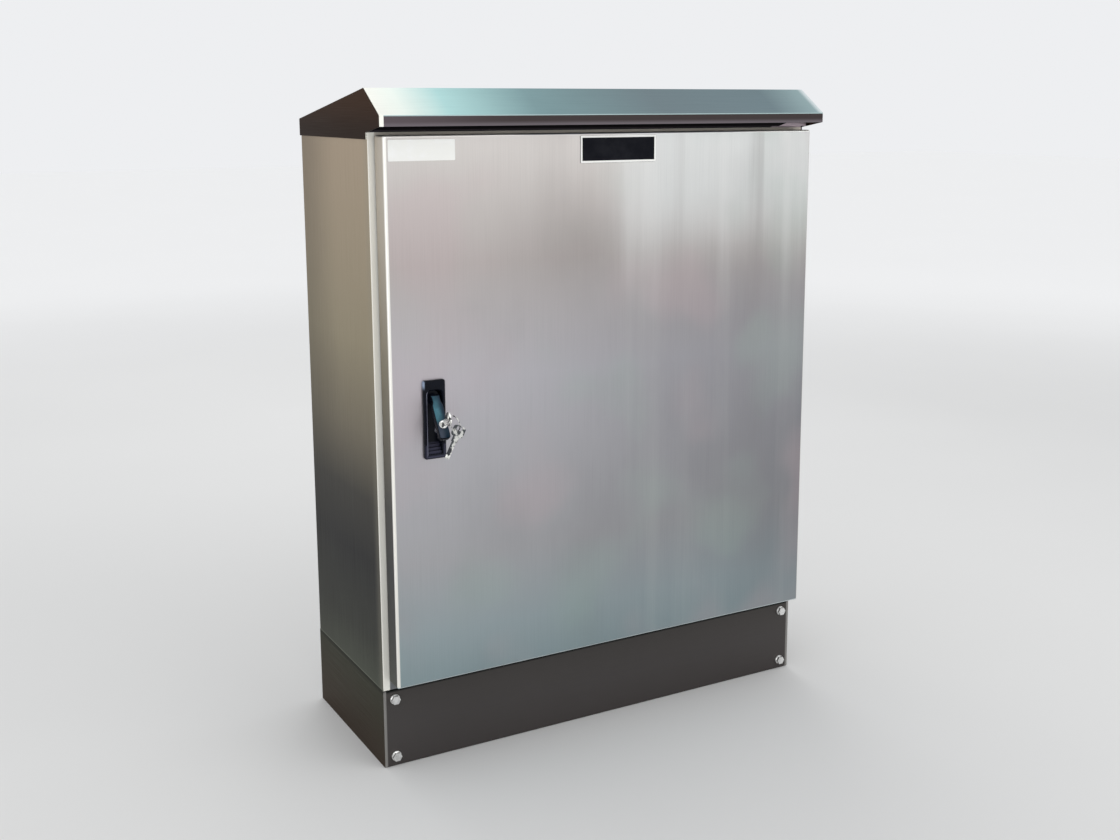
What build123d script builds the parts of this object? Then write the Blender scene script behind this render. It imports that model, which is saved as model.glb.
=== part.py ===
"""Outdoor distribution board: a folded stainless cabinet with a rain hood, a plinth, a door with a
swing handle and rod lock, and the switchgear inside. Millimetres, +Z up, the door faces -Y. The
origin is on the floor, in the middle of the four floor bolts."""

import os
from math import cos, radians, sin, sqrt

from build123d import *

os.makedirs("parts", exist_ok=True)

# Overall sizes
width = 800
depth = 300
plinth_height = 130
body_height = 870
sheet = 1.5

half_width = width / 2
front_y = -depth / 2
back_y = depth / 2
base_z = plinth_height
top_z = plinth_height + body_height

# Front frame of the body: a flange, and inside it an upstand that the door seal meets
flange = 30
upstand = 22
opening_width = width - 2 * flange
opening_height = body_height - 2 * flange
body_middle_z = base_z + body_height / 2

# Door: a pan that overlays the flange
door_inset = 10
door_width = width - 2 * door_inset
door_bottom_z = base_z + 15
door_top_z = base_z + 862
door_height = door_top_z - door_bottom_z
door_middle_z = (door_top_z + door_bottom_z) / 2
door_front_y = front_y - 37
door_return = 32
door_bend = 3
door_inner_y = door_front_y + sheet
seal_width = 13
seal_gap = 0.3

# Hood: skirt, back, long slope, front slope and drip lip
skirt_z = top_z - 14
hood_back_z = top_z + 13
ridge_y = front_y + 4
ridge_z = top_z + 60
lip_y = front_y - 55
lip_top_z = top_z + 21
lip_bottom_z = top_z + 5
skirt_step_z = top_z - 4
lip_hem = 10

# Swing handle: the dish, the hub that turns in it and the lever that lifts on the hub
handle_x = -320
hub_z = 600
dish_width = 36
dish_height = 122
dish_middle_z = 567
dish_front_y = door_front_y - 6
recess_width = 24
recess_bottom_z = 526
recess_corner = 6
recess_floor_y = dish_front_y + 17
dish_back_y = recess_floor_y + 2
hub_radius = 11.5
spindle_radius = 7
lift_pin_y = dish_front_y + 3
lift_pin_radius = 2
lever_lift = 32
lever_length = 68
lock_distance = 46
barrel_radius = 6.5
plug_radius = 4.5
ring_radius = 12
ring_wire = 0.8

# Rod lock behind the door
cam_y = front_y + 2.5
cam_thickness = 4
rod_y = cam_y + cam_thickness + 0.5
rod_width = 12
rod_thickness = 3
crank_radius = 14
crank_pin_radius = 2.5
crank_rise = crank_radius * sin(radians(45))
crank_sway = crank_radius - crank_rise
rod_offset = crank_radius - crank_sway / 2
rod_tip_clearance = 4
tongue_clearance = 2.5

# Hinges at the right edge, with one vertical axis
hinge_x = 384
hinge_y = -165
hinge_pin_radius = 2.5
knuckle_radius = 4.4
hinge_heights = (250, 568, 886)

# Equipment on the mounting plate
plate_y = 117.5
plate_thickness = 2.5
plate_width = 690
plate_bottom_z = 190
plate_top_z = 940
pole_pitch = 18
breaker_width = 3 * pole_pitch
breaker_count = 6
breaker_z = 560
breaker_back_y = 112.5
switch_z = 810
switch_width = 90
switch_height = 150
cover_y = 55
nose_y = 45.5
phase_levels = (95, 90, 85)
bar_thickness = 2
backbone_z = 622.5
backbone_height = 15
terminal_bar_z = 350

# Fasteners
m6_radius = 3
m8_radius = 4
screw_play = 0.5
thread_play = 0.05
m8_flats = 13
m8_head = 5.4
m8_nut = 6.5
m8_washer_radius = 8
m8_washer = 1.6
floor_bolt_x = 370
floor_bolt_y = 110
cover_bolt_x = 381
cover_bolt_heights = (17, 113)


def facing_front(y):
    """Plane across the board at y: its own y runs up and its normal points to the front."""
    return Plane(origin=(0, y, 0), x_dir=(1, 0, 0), z_dir=(0, -1, 0))


def level(z):
    """Level plane at height z."""
    return Plane.XY.offset(z)


def block(x_range, y_range, z_range, mode=Mode.ADD):
    """Box between two values on each axis."""
    middle = [(low + high) / 2 for low, high in (x_range, y_range, z_range)]
    size = [high - low for low, high in (x_range, y_range, z_range)]
    with Locations(tuple(middle)):
        Box(*size, mode=mode)


def upright_rod(points, radius, low, high, mode=Mode.ADD):
    """Vertical cylinders through (x, y) points."""
    with BuildSketch(level(low)) as discs:
        with Locations(*points):
            Circle(radius)
    extrude(discs.sketch, amount=high - low, mode=mode)


def front_rod(points, radius, back, front, mode=Mode.ADD):
    """Cylinders along Y through (x, z) points, from y = back towards the front."""
    with BuildSketch(facing_front(back)) as discs:
        with Locations(*points):
            Circle(radius)
    extrude(discs.sketch, amount=back - front, mode=mode)


def front_hexagon(points, across_flats, back, front):
    """Hexagons along Y at (x, z) points."""
    with BuildSketch(facing_front(back)) as hexagons:
        with Locations(*points):
            RegularPolygon(across_flats / 2, 6, major_radius=False)
    extrude(hexagons.sketch, amount=back - front)


def upright_hexagon(points, across_flats, low, high):
    """Hexagons along Z at (x, y) points."""
    with BuildSketch(level(low)) as hexagons:
        with Locations(*points):
            RegularPolygon(across_flats / 2, 6, major_radius=False)
    extrude(hexagons.sketch, amount=high - low)


def save(builder, name):
    """Label a finished piece and write it."""
    builder.part.label = name
    export_step(builder.part, f"parts/{name}.step")


def corners(x, y):
    """Four points at plus and minus x and y."""
    return [(-x, -y), (x, -y), (x, y), (-x, y)]


# Cabinet body
gland_opening = (520, 160)
gland_y = 20
gland_screw_points = [(x, gland_y + y) for x in (-270, 0, 270) for y in (-90, 90)]
hood_bolt_points = corners(half_width - 14, 60)
gutter_reach = 16
gutter_lip = 6
gutter_x = (-half_width + 3, half_width - 3)

with BuildPart() as cabinet_shell:
    with BuildSketch(level(base_z)):
        RectangleRounded(width, depth, 2.5)
    extrude(amount=body_height)
    with BuildSketch(level(base_z + sheet)):
        Rectangle(width - 2 * sheet, depth - 2 * sheet)
    extrude(amount=body_height - 2 * sheet, mode=Mode.SUBTRACT)
    with BuildSketch(facing_front(front_y + sheet)):
        with Locations((0, body_middle_z)):
            Rectangle(opening_width, opening_height)
    extrude(amount=sheet, mode=Mode.SUBTRACT)
    with BuildSketch(facing_front(front_y + sheet)):
        with Locations((0, body_middle_z)):
            Rectangle(opening_width, opening_height)
            Rectangle(opening_width - 2 * sheet, opening_height - 2 * sheet, mode=Mode.SUBTRACT)
    extrude(amount=upstand + sheet)
    block(gutter_x, (front_y - gutter_reach, front_y), (top_z - sheet, top_z))
    block(
        gutter_x,
        (front_y - gutter_reach, front_y - gutter_reach + sheet),
        (top_z - sheet, top_z + gutter_lip - sheet),
    )
    with BuildSketch(level(base_z)):
        with Locations((0, gland_y)):
            Rectangle(*gland_opening)
        with Locations(*corners(floor_bolt_x, floor_bolt_y)):
            Circle(m8_radius + screw_play)
        with Locations(*gland_screw_points):
            Circle(m6_radius + thread_play)
    extrude(amount=sheet, mode=Mode.SUBTRACT)
    upright_rod(hood_bolt_points, m6_radius + screw_play, top_z - sheet, top_z, mode=Mode.SUBTRACT)
save(cabinet_shell, "cabinet_shell")

# Rain hood, one folded and welded piece with two feet that stand on the body's top
hood_outline = [
    (back_y + sheet, skirt_z),
    (back_y + sheet, hood_back_z),
    (ridge_y, ridge_z),
    (lip_y, lip_top_z),
    (lip_y, lip_bottom_z),
    (front_y, skirt_step_z),
    (front_y, skirt_z),
]

# The inside faces run one sheet below the two slopes
long_slope = (ridge_z - hood_back_z) / (back_y + sheet - ridge_y)
front_slope = (ridge_z - lip_top_z) / (ridge_y - lip_y)
long_drop = sheet * sqrt(1 + long_slope**2)
front_drop = sheet * sqrt(1 + front_slope**2)
ridge_shift = (front_drop - long_drop) / (long_slope + front_slope)
hood_inside = [
    (back_y, skirt_z - 1),
    (back_y, hood_back_z + long_slope * sheet - long_drop),
    (ridge_y + ridge_shift, ridge_z - long_slope * ridge_shift - long_drop),
    (lip_y + sheet, lip_top_z + front_slope * sheet - front_drop),
    (lip_y + sheet, skirt_z - 1),
]
side_plane = Plane(origin=(half_width + sheet, 0, 0), x_dir=(0, 1, 0), z_dir=(1, 0, 0))
foot_width = 26
foot_half_length = 90
foot_thickness = 3
foot_riser = 14

with BuildPart() as roof_hood:
    with BuildSketch(side_plane) as hood_side:
        with BuildLine():
            Polyline(*hood_outline, close=True)
        make_face()
    extrude(amount=-(width + 2 * sheet))
    with BuildSketch(side_plane.offset(-sheet)):
        with BuildLine():
            Polyline(*hood_inside, close=True)
        make_face()
    extrude(amount=-width, mode=Mode.SUBTRACT)
    block((-half_width, half_width), (lip_y, lip_y + lip_hem), (lip_bottom_z, lip_bottom_z + sheet))
    for side in (-1, 1):
        foot_x = sorted((side * half_width, side * (half_width - foot_width)))
        foot_y = (-foot_half_length, foot_half_length)
        block(foot_x, foot_y, (top_z, top_z + foot_thickness))
        riser_x = sorted((side * half_width, side * (half_width - foot_thickness)))
        block(riser_x, foot_y, (top_z, top_z + foot_riser))
    upright_rod(
        hood_bolt_points, m6_radius + screw_play, top_z, top_z + foot_thickness, mode=Mode.SUBTRACT
    )
save(roof_hood, "roof_hood")

m6_flats = 10
m6_head = 4
m6_nut = 5
with BuildPart() as hood_bolts:
    foot_top_z = top_z + foot_thickness
    upright_hexagon(hood_bolt_points, m6_flats, top_z - sheet - m6_head, top_z - sheet)
    upright_rod(hood_bolt_points, m6_radius, top_z - sheet, foot_top_z + m6_nut + 2)
    upright_hexagon(hood_bolt_points, m6_flats, foot_top_z, foot_top_z + m6_nut)
save(hood_bolts, "hood_bolts")

# Plinth: two side channels, a back channel and a removable front cover
plinth_sheet = 2
plinth_flange = 50
floor_hole_radius = 7


def plinth_side(side):
    """Side channel with flanges on all four edges and two nuts behind its front flange."""
    outer = side * half_width
    inner = side * (half_width - plinth_flange)
    block(sorted((outer, inner)), (front_y + plinth_sheet, back_y), (0, plinth_height))
    block(
        sorted((outer - side * plinth_sheet, inner)),
        (front_y + 2 * plinth_sheet, back_y - plinth_sheet),
        (plinth_sheet, plinth_height - plinth_sheet),
        mode=Mode.SUBTRACT,
    )
    nuts = [(side * cover_bolt_x, z) for z in cover_bolt_heights]
    flange_back_y = front_y + 2 * plinth_sheet
    front_hexagon(nuts, m8_flats, flange_back_y + m8_nut, flange_back_y)
    front_rod(nuts, m8_radius + thread_play, flange_back_y + m8_nut, front_y, mode=Mode.SUBTRACT)
    floor_holes = [(side * floor_bolt_x, y) for y in (-floor_bolt_y, floor_bolt_y)]
    upright_rod(floor_holes, floor_hole_radius, 0, plinth_sheet, mode=Mode.SUBTRACT)
    upright_rod(
        floor_holes,
        m8_radius + screw_play,
        plinth_height - plinth_sheet,
        plinth_height,
        mode=Mode.SUBTRACT,
    )


with BuildPart() as plinth_side_left:
    plinth_side(-1)
save(plinth_side_left, "plinth_side_left")

with BuildPart() as plinth_side_right:
    plinth_side(1)
save(plinth_side_right, "plinth_side_right")

back_channel_x = half_width - plinth_sheet - 1
back_channel_depth = 30
with BuildPart() as plinth_back:
    back_channel_y = (back_y - plinth_sheet - back_channel_depth, back_y - plinth_sheet)
    block(
        (-half_width + plinth_flange, half_width - plinth_flange),
        back_channel_y,
        (plinth_sheet, plinth_height - plinth_sheet),
    )
    block(
        (-half_width + plinth_flange, half_width - plinth_flange),
        (back_channel_y[0], back_channel_y[1] - plinth_sheet),
        (2 * plinth_sheet, plinth_height - 2 * plinth_sheet),
        mode=Mode.SUBTRACT,
    )
    block(
        (-back_channel_x, back_channel_x),
        (back_channel_y[1] - plinth_sheet, back_channel_y[1]),
        (plinth_sheet, plinth_height - plinth_sheet),
    )
save(plinth_back, "plinth_back")

plinth_cover_low_z = 1
plinth_cover_high_z = plinth_height - 2
plinth_cover_return = 14
cover_holes = [(side * cover_bolt_x, z) for side in (-1, 1) for z in cover_bolt_heights]

with BuildPart() as plinth_front_cover:
    block(
        (-half_width, half_width),
        (front_y, front_y + plinth_sheet),
        (plinth_cover_low_z, plinth_cover_high_z),
    )
    for return_z in (
        (plinth_cover_low_z, plinth_cover_low_z + plinth_sheet),
        (plinth_cover_high_z - plinth_sheet, plinth_cover_high_z),
    ):
        block(
            (-half_width + plinth_flange + 1, half_width - plinth_flange - 1),
            (front_y, front_y + plinth_cover_return),
            return_z,
        )
    front_rod(
        cover_holes, m8_radius + screw_play, front_y + plinth_sheet, front_y, mode=Mode.SUBTRACT
    )
save(plinth_front_cover, "plinth_front_cover")

with BuildPart() as plinth_cover_bolts:
    head_back_y = front_y - m8_washer
    front_rod(cover_holes, m8_radius, front_y + 12, front_y)
    front_rod(cover_holes, m8_washer_radius, front_y, head_back_y)
    front_hexagon(cover_holes, m8_flats, head_back_y, head_back_y - m8_head)
save(plinth_cover_bolts, "plinth_cover_bolts")

with BuildPart() as plinth_body_bolts:
    joint_points = corners(floor_bolt_x, floor_bolt_y)
    nut_top_z = base_z - plinth_sheet
    upright_hexagon(joint_points, m8_flats, base_z + sheet, base_z + sheet + m8_head)
    upright_rod(joint_points, m8_radius, nut_top_z - 12, base_z + sheet)
    upright_hexagon(joint_points, m8_flats, nut_top_z - m8_nut, nut_top_z)
save(plinth_body_bolts, "plinth_body_bolts")

# Gland plate in the floor of the body, on a seal
gland_plate_size = (560, 200)
gland_seal_z = base_z + sheet
gland_seal_thickness = 2
gland_plate_z = gland_seal_z + gland_seal_thickness
gland_plate_thickness = 2
gland_hole_radius = 20.25
gland_screw_play = 0.3
gland_holes = [(x, gland_y) for x in (-180, -60, 60, 180)]

with BuildPart() as gland_plate_seal:
    with BuildSketch(level(gland_seal_z)):
        with Locations((0, gland_y)):
            Rectangle(*gland_plate_size)
            Rectangle(*gland_opening, mode=Mode.SUBTRACT)
        with Locations(*gland_screw_points):
            Circle(m6_radius + gland_screw_play, mode=Mode.SUBTRACT)
    extrude(amount=gland_seal_thickness)
save(gland_plate_seal, "gland_plate_seal")

with BuildPart() as gland_plate:
    with BuildSketch(level(gland_plate_z)):
        with Locations((0, gland_y)):
            RectangleRounded(*gland_plate_size, 4)
        with Locations(*gland_holes):
            Circle(gland_hole_radius, mode=Mode.SUBTRACT)
        with Locations(*gland_screw_points):
            Circle(m6_radius + gland_screw_play, mode=Mode.SUBTRACT)
    extrude(amount=gland_plate_thickness)
save(gland_plate, "gland_plate")

with BuildPart() as gland_plate_screws:
    head_z = gland_plate_z + gland_plate_thickness
    upright_rod(gland_screw_points, m6_radius, base_z - 6, head_z)
    upright_rod(gland_screw_points, 5.5, head_z, head_z + 3.5)
    chamfer(gland_plate_screws.edges().group_by(Axis.Z)[-1], 1)
save(gland_plate_screws, "gland_plate_screws")

# Mounting plate on shouldered studs that are welded to the back wall
stud_points = [(x, z) for x in (-320, 320) for z in (230, 900)]
plate_back_y = plate_y + plate_thickness
plate_return = 14

with BuildPart() as mounting_studs:
    front_rod(stud_points, m8_washer_radius, back_y - sheet, plate_back_y)
    front_rod(stud_points, m8_radius, plate_back_y, plate_y - 12)
save(mounting_studs, "mounting_studs")

with BuildPart() as mounting_plate:
    block(
        (-plate_width / 2, plate_width / 2), (plate_y, plate_back_y), (plate_bottom_z, plate_top_z)
    )
    for side in (-1, 1):
        edge = side * plate_width / 2
        block(
            sorted((edge, edge - side * plate_thickness)),
            (plate_y, plate_y + plate_return),
            (plate_bottom_z, plate_top_z),
        )
    front_rod(stud_points, m8_radius + screw_play, plate_back_y, plate_y, mode=Mode.SUBTRACT)
save(mounting_plate, "mounting_plate")

with BuildPart() as mounting_nuts:
    nut_back_y = plate_y - m8_washer
    front_rod(stud_points, m8_washer_radius + 1, plate_y, nut_back_y)
    front_hexagon(stud_points, m8_flats, nut_back_y, nut_back_y - m8_nut)
    front_rod(stud_points, m8_radius + thread_play, plate_y, nut_back_y - m8_nut, mode=Mode.SUBTRACT)
save(mounting_nuts, "mounting_nuts")

# Breaker rail, a top-hat section
rail_half_length = 190
rail_depth = 7.5
rail_sheet = 1
rail_half_floor = 13.5
rail_half_height = 17.5

with BuildPart() as breaker_rail:
    rail_x = (-rail_half_length, rail_half_length)
    rail_front_y = plate_y - rail_depth
    block(
        rail_x,
        (plate_y - rail_sheet, plate_y),
        (breaker_z - rail_half_floor, breaker_z + rail_half_floor),
    )
    for side in (-1, 1):
        web_inner_z = breaker_z + side * (rail_half_floor - rail_sheet)
        web = sorted((web_inner_z, breaker_z + side * rail_half_floor))
        block(rail_x, (rail_front_y, plate_y), web)
        lip = sorted((web_inner_z, breaker_z + side * rail_half_height))
        block(rail_x, (rail_front_y, rail_front_y + rail_sheet), lip)
save(breaker_rail, "breaker_rail")

# Three-pole breakers, each with its own toggle
toggle_y = 56
toggle_radius = 9
toggle_reach = 22
toggle_tilt = 22
breaker_shoulder_y = 65.5
breaker_half_height = 42.5
nose_half_height = 22.5
slot_half_width = 22
case_play = 0.15
toggle_play = 0.3
clamp_half_width = 4
clamp_play = 3
clamp_depth = 12
breaker_screw_z = 32


def toggle_plane(x, y, z, tilt):
    """Plane at a toggle's pivot, with its normal along the toggle's lever."""
    return Plane(
        origin=(x, y, z), x_dir=(1, 0, 0), z_dir=(0, -cos(radians(tilt)), sin(radians(tilt)))
    )


def toggle(x, y, z, half_width_x, radius, reach, tab):
    """Drum on a pivot along X with a tab, resting tilted down in its off place."""
    drum_end = Plane(origin=(x - half_width_x, y, z), x_dir=(0, 1, 0), z_dir=(1, 0, 0))
    with BuildSketch(drum_end) as drum:
        Circle(radius)
    extrude(drum.sketch, amount=2 * half_width_x)
    with BuildSketch(toggle_plane(x, y, z, -toggle_tilt)) as tab_section:
        Rectangle(2 * half_width_x - 4, tab)
    extrude(tab_section.sketch, amount=reach)


breaker_xs = [(index - (breaker_count - 1) / 2) * breaker_width for index in range(breaker_count)]
for number, x in enumerate(breaker_xs, start=1):
    with BuildPart() as breaker:
        side_face = Plane(
            origin=(x - breaker_width / 2 + case_play, 0, 0), x_dir=(0, 1, 0), z_dir=(1, 0, 0)
        )
        with BuildSketch(side_face):
            with BuildLine():
                Polyline(
                    (breaker_back_y, breaker_z - breaker_half_height),
                    (breaker_back_y, breaker_z + breaker_half_height),
                    (breaker_shoulder_y, breaker_z + breaker_half_height),
                    (breaker_shoulder_y, breaker_z + nose_half_height),
                    (nose_y, breaker_z + nose_half_height),
                    (nose_y, breaker_z - nose_half_height),
                    (breaker_shoulder_y, breaker_z - nose_half_height),
                    (breaker_shoulder_y, breaker_z - breaker_half_height),
                    close=True,
                )
            make_face()
        extrude(amount=breaker_width - 2 * case_play)
        half = breaker_width / 2
        block(
            (x - half, x + half),
            (rail_front_y - 0.1, breaker_back_y),
            (breaker_z - rail_half_height - 0.2, breaker_z + rail_half_height + 0.2),
            mode=Mode.SUBTRACT,
        )
        slot_half_height = toggle_radius + toggle_play
        block(
            (x - slot_half_width, x + slot_half_width),
            (nose_y, toggle_y + slot_half_height),
            (breaker_z - slot_half_height, breaker_z + slot_half_height),
            mode=Mode.SUBTRACT,
        )
        for pole in (-1, 0, 1):
            pole_x = x + pole * pole_pitch
            for side in (-1, 1):
                end_z = breaker_z + side * breaker_half_height
                block(
                    (pole_x - clamp_half_width, pole_x + clamp_half_width),
                    (phase_levels[2] - clamp_play, phase_levels[0] + clamp_play),
                    sorted((end_z, end_z - side * clamp_depth)),
                    mode=Mode.SUBTRACT,
                )
                screw_place = [(pole_x, breaker_z + side * breaker_screw_z)]
                front_rod(
                    screw_place, 3.2, breaker_shoulder_y + 6, breaker_shoulder_y, Mode.SUBTRACT
                )
    save(breaker, f"breaker_{number}")
    with BuildPart() as breaker_toggle:
        toggle(x, toggle_y, breaker_z, slot_half_width - 0.5, toggle_radius, toggle_reach, 5)
    save(breaker_toggle, f"breaker_toggle_{number}")

# Main switch, a moulded case with its toggle
switch_shoulder_y = 67.5
switch_nose_half = 37.5
switch_toggle_y = 60
switch_toggle_radius = 12
switch_slot_half = 12
switch_pitch = 30
switch_toggle_reach = 33
switch_clamp_half_width = 10
switch_clamp_depth = 18
switch_screw_z = 62

with BuildPart() as main_switch:
    half = switch_width / 2
    block(
        (-half, half),
        (switch_shoulder_y, plate_y),
        (switch_z - switch_height / 2, switch_z + switch_height / 2),
    )
    block(
        (-half, half),
        (nose_y, switch_shoulder_y),
        (switch_z - switch_nose_half, switch_z + switch_nose_half),
    )
    chamfer(main_switch.edges().filter_by(Axis.Z).group_by(Axis.Y)[0], 2)
    slot_half_height = switch_toggle_radius + toggle_play
    block(
        (-switch_slot_half, switch_slot_half),
        (nose_y, switch_toggle_y + slot_half_height),
        (switch_z - slot_half_height, switch_z + slot_half_height),
        mode=Mode.SUBTRACT,
    )
    for pole in (-1, 0, 1):
        pole_x = pole * switch_pitch
        for side in (-1, 1):
            end_z = switch_z + side * switch_height / 2
            block(
                (pole_x - switch_clamp_half_width, pole_x + switch_clamp_half_width),
                (phase_levels[2] - clamp_play, phase_levels[0] + clamp_play),
                sorted((end_z, end_z - side * switch_clamp_depth)),
                mode=Mode.SUBTRACT,
            )
            screw_place = [(pole_x, switch_z + side * switch_screw_z)]
            front_rod(screw_place, 5, switch_shoulder_y + 8, switch_shoulder_y, Mode.SUBTRACT)
save(main_switch, "main_switch")

with BuildPart() as main_switch_toggle:
    toggle(
        0,
        switch_toggle_y,
        switch_z,
        switch_slot_half - 0.5,
        switch_toggle_radius,
        switch_toggle_reach,
        8,
    )
save(main_switch_toggle, "main_switch_toggle")

# Phase bars: each is cut from one copper sheet, with a riser to the switch and a tab at each breaker
riser_width = 16
tab_width = 6
riser_top_z = switch_z - switch_height / 2 + 15
tab_bottom_z = breaker_z + breaker_half_height - 10
for phase, bar_y in enumerate(phase_levels):
    pole_xs = [x + (phase - 1) * pole_pitch for x in breaker_xs]
    riser_x = (phase - 1) * switch_pitch
    with BuildPart() as busbar:
        with BuildSketch(facing_front(bar_y + bar_thickness / 2)):
            with Locations(((pole_xs[0] + pole_xs[-1]) / 2, backbone_z)):
                Rectangle(pole_xs[-1] - pole_xs[0] + tab_width, backbone_height)
            with Locations((riser_x, (backbone_z + riser_top_z) / 2)):
                Rectangle(riser_width, riser_top_z - backbone_z)
            with Locations(*[(x, (backbone_z + tab_bottom_z) / 2) for x in pole_xs]):
                Rectangle(tab_width, backbone_z - tab_bottom_z)
        extrude(amount=bar_thickness)
    save(busbar, f"busbar_l{phase + 1}")

support_x = 2 * breaker_width
support_half_width = 5
support_half_height = 12
bar_play = 0.1
with BuildPart() as busbar_supports:
    slot_depth = bar_thickness / 2 + bar_play
    slot_rise = backbone_height / 2 + bar_play
    for side in (-1, 1):
        support = (side * support_x - support_half_width, side * support_x + support_half_width)
        block(
            support,
            (phase_levels[2] - 6, plate_y),
            (backbone_z - support_half_height, backbone_z + support_half_height),
        )
        for bar_y in phase_levels:
            block(
                support,
                (bar_y - slot_depth, bar_y + slot_depth),
                (backbone_z - slot_rise, backbone_z + slot_rise),
                mode=Mode.SUBTRACT,
            )
save(busbar_supports, "busbar_supports")

# Neutral and earth bars on insulators
terminal_bar_length = 200
terminal_bar_x = 135
terminal_pitch = 16
terminal_count = 12
terminal_bar_side = 12
terminal_bar_depth = 10
terminal_hole_radius = 2.5
insulator_depth = 25
insulator_flats = 16
bar_back_y = plate_y - insulator_depth


def terminal_bar(middle_x):
    """Bar with a row of screw holes through it from the front."""
    half_length = terminal_bar_length / 2
    half_side = terminal_bar_side / 2
    bar_front_y = bar_back_y - terminal_bar_depth
    block(
        (middle_x - half_length, middle_x + half_length),
        (bar_front_y, bar_back_y),
        (terminal_bar_z - half_side, terminal_bar_z + half_side),
    )
    first = middle_x - terminal_pitch * (terminal_count - 1) / 2
    places = [(first + terminal_pitch * index, terminal_bar_z) for index in range(terminal_count)]
    front_rod(places, terminal_hole_radius, bar_back_y, bar_front_y, mode=Mode.SUBTRACT)


with BuildPart() as neutral_bar:
    terminal_bar(-terminal_bar_x)
save(neutral_bar, "neutral_bar")

with BuildPart() as earth_bar:
    terminal_bar(terminal_bar_x)
save(earth_bar, "earth_bar")

with BuildPart() as bar_insulators:
    insulator_points = [
        (side * terminal_bar_x + end * terminal_pitch * 5, terminal_bar_z)
        for side in (-1, 1)
        for end in (-1, 1)
    ]
    front_hexagon(insulator_points, insulator_flats, plate_y, bar_back_y)
save(bar_insulators, "bar_insulators")

# Dead front: a shallow pan over the live parts, with windows for the toggles
cover_half_width = 280
cover_bottom_z = 440
cover_top_z = 920
cover_return = 15
post_points = [(x, z) for x in (-262, 262) for z in (460, 900)]
knob_radius = 8
knob_height = 9

with BuildPart() as dead_front:
    outer_x = (-cover_half_width, cover_half_width)
    block(outer_x, (cover_y, cover_y + cover_return), (cover_bottom_z, cover_top_z))
    block(
        (-cover_half_width + sheet, cover_half_width - sheet),
        (cover_y + sheet, cover_y + cover_return),
        (cover_bottom_z + sheet, cover_top_z - sheet),
        mode=Mode.SUBTRACT,
    )
    window_margin = 1
    window_half = breaker_count * breaker_width / 2 + window_margin
    window_rise = nose_half_height + window_margin
    block(
        (-window_half, window_half),
        (cover_y, cover_y + sheet),
        (breaker_z - window_rise, breaker_z + window_rise),
        mode=Mode.SUBTRACT,
    )
    switch_window_half = switch_width / 2 + window_margin
    switch_window_rise = switch_nose_half + window_margin
    block(
        (-switch_window_half, switch_window_half),
        (cover_y, cover_y + sheet),
        (switch_z - switch_window_rise, switch_z + switch_window_rise),
        mode=Mode.SUBTRACT,
    )
    front_rod(post_points, m6_radius + screw_play, cover_y + sheet, cover_y, mode=Mode.SUBTRACT)
save(dead_front, "dead_front")

with BuildPart() as dead_front_posts:
    front_hexagon(post_points, 12, plate_y, cover_y + sheet)
    front_rod(post_points, m6_radius + thread_play, cover_y + 16, cover_y, mode=Mode.SUBTRACT)
save(dead_front_posts, "dead_front_posts")

with BuildPart() as dead_front_screws:
    front_rod(post_points, m6_radius, cover_y + 14, cover_y)
    front_rod(post_points, knob_radius, cover_y, cover_y - knob_height)
    chamfer(dead_front_screws.edges().group_by(Axis.Y)[0], 1)
save(dead_front_screws, "dead_front_screws")

# Door pan
hatch_width = 29
hatch_bottom_z = 509
hatch_top_z = 615
hatch_middle_z = (hatch_bottom_z + hatch_top_z) / 2

with BuildPart() as door_panel:
    with BuildSketch(facing_front(door_front_y + door_return)):
        with Locations((0, door_middle_z)):
            RectangleRounded(door_width, door_height, door_bend)
    extrude(amount=door_return)
    fillet(door_panel.faces().sort_by(Axis.Y)[0].edges(), door_bend - 0.1)
    with BuildSketch(facing_front(door_front_y + door_return)):
        with Locations((0, door_middle_z)):
            Rectangle(door_width - 2 * sheet, door_height - 2 * sheet)
    extrude(amount=door_return - sheet, mode=Mode.SUBTRACT)
    with BuildSketch(facing_front(door_inner_y)):
        with Locations((handle_x, hatch_middle_z)):
            Rectangle(hatch_width, hatch_top_z - hatch_bottom_z)
    extrude(amount=sheet, mode=Mode.SUBTRACT)
save(door_panel, "door_panel")

with BuildPart() as door_seal:
    seal_back_y = front_y - upstand - seal_gap
    with BuildSketch(facing_front(seal_back_y)):
        with Locations((0, body_middle_z)):
            RectangleRounded(opening_width + seal_width, opening_height + seal_width, 8)
            Rectangle(opening_width - seal_width, opening_height - seal_width, mode=Mode.SUBTRACT)
    extrude(amount=seal_back_y - door_inner_y)
save(door_seal, "door_seal")

# Hinges: a knuckle on a foot at the body, two knuckles on a tab at the door, one pin through them
knuckle_height = 16
knuckle_gap = 0.4
leaf_half_height = 1.5 * knuckle_height + knuckle_gap
body_leaf_half_height = 22
pin_half_length = 26
knuckle_bore = hinge_pin_radius + 0.05
bore_low_z = hinge_heights[0] - pin_half_length
bore_high_z = hinge_heights[-1] + pin_half_length


def hinge_knuckle(z, arm_x, arm_y):
    """Round knuckle at height z with an arm to the plate that carries it."""
    low, high = z - knuckle_height / 2, z + knuckle_height / 2
    upright_rod([(hinge_x, hinge_y)], knuckle_radius, low, high)
    block(arm_x, arm_y, (low, high))


with BuildPart() as hinge_body_leaves:
    upstand_x = half_width - flange
    for height in hinge_heights:
        hinge_knuckle(height, (upstand_x, hinge_x), (hinge_y - 6, hinge_y - 2))
        block(
            (upstand_x, upstand_x + sheet),
            (front_y - upstand + 0.5, front_y - 1),
            (height - body_leaf_half_height, height + body_leaf_half_height),
        )
    upright_rod([(hinge_x, hinge_y)], knuckle_bore, bore_low_z, bore_high_z, Mode.SUBTRACT)
save(hinge_body_leaves, "hinge_body_leaves")

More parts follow.
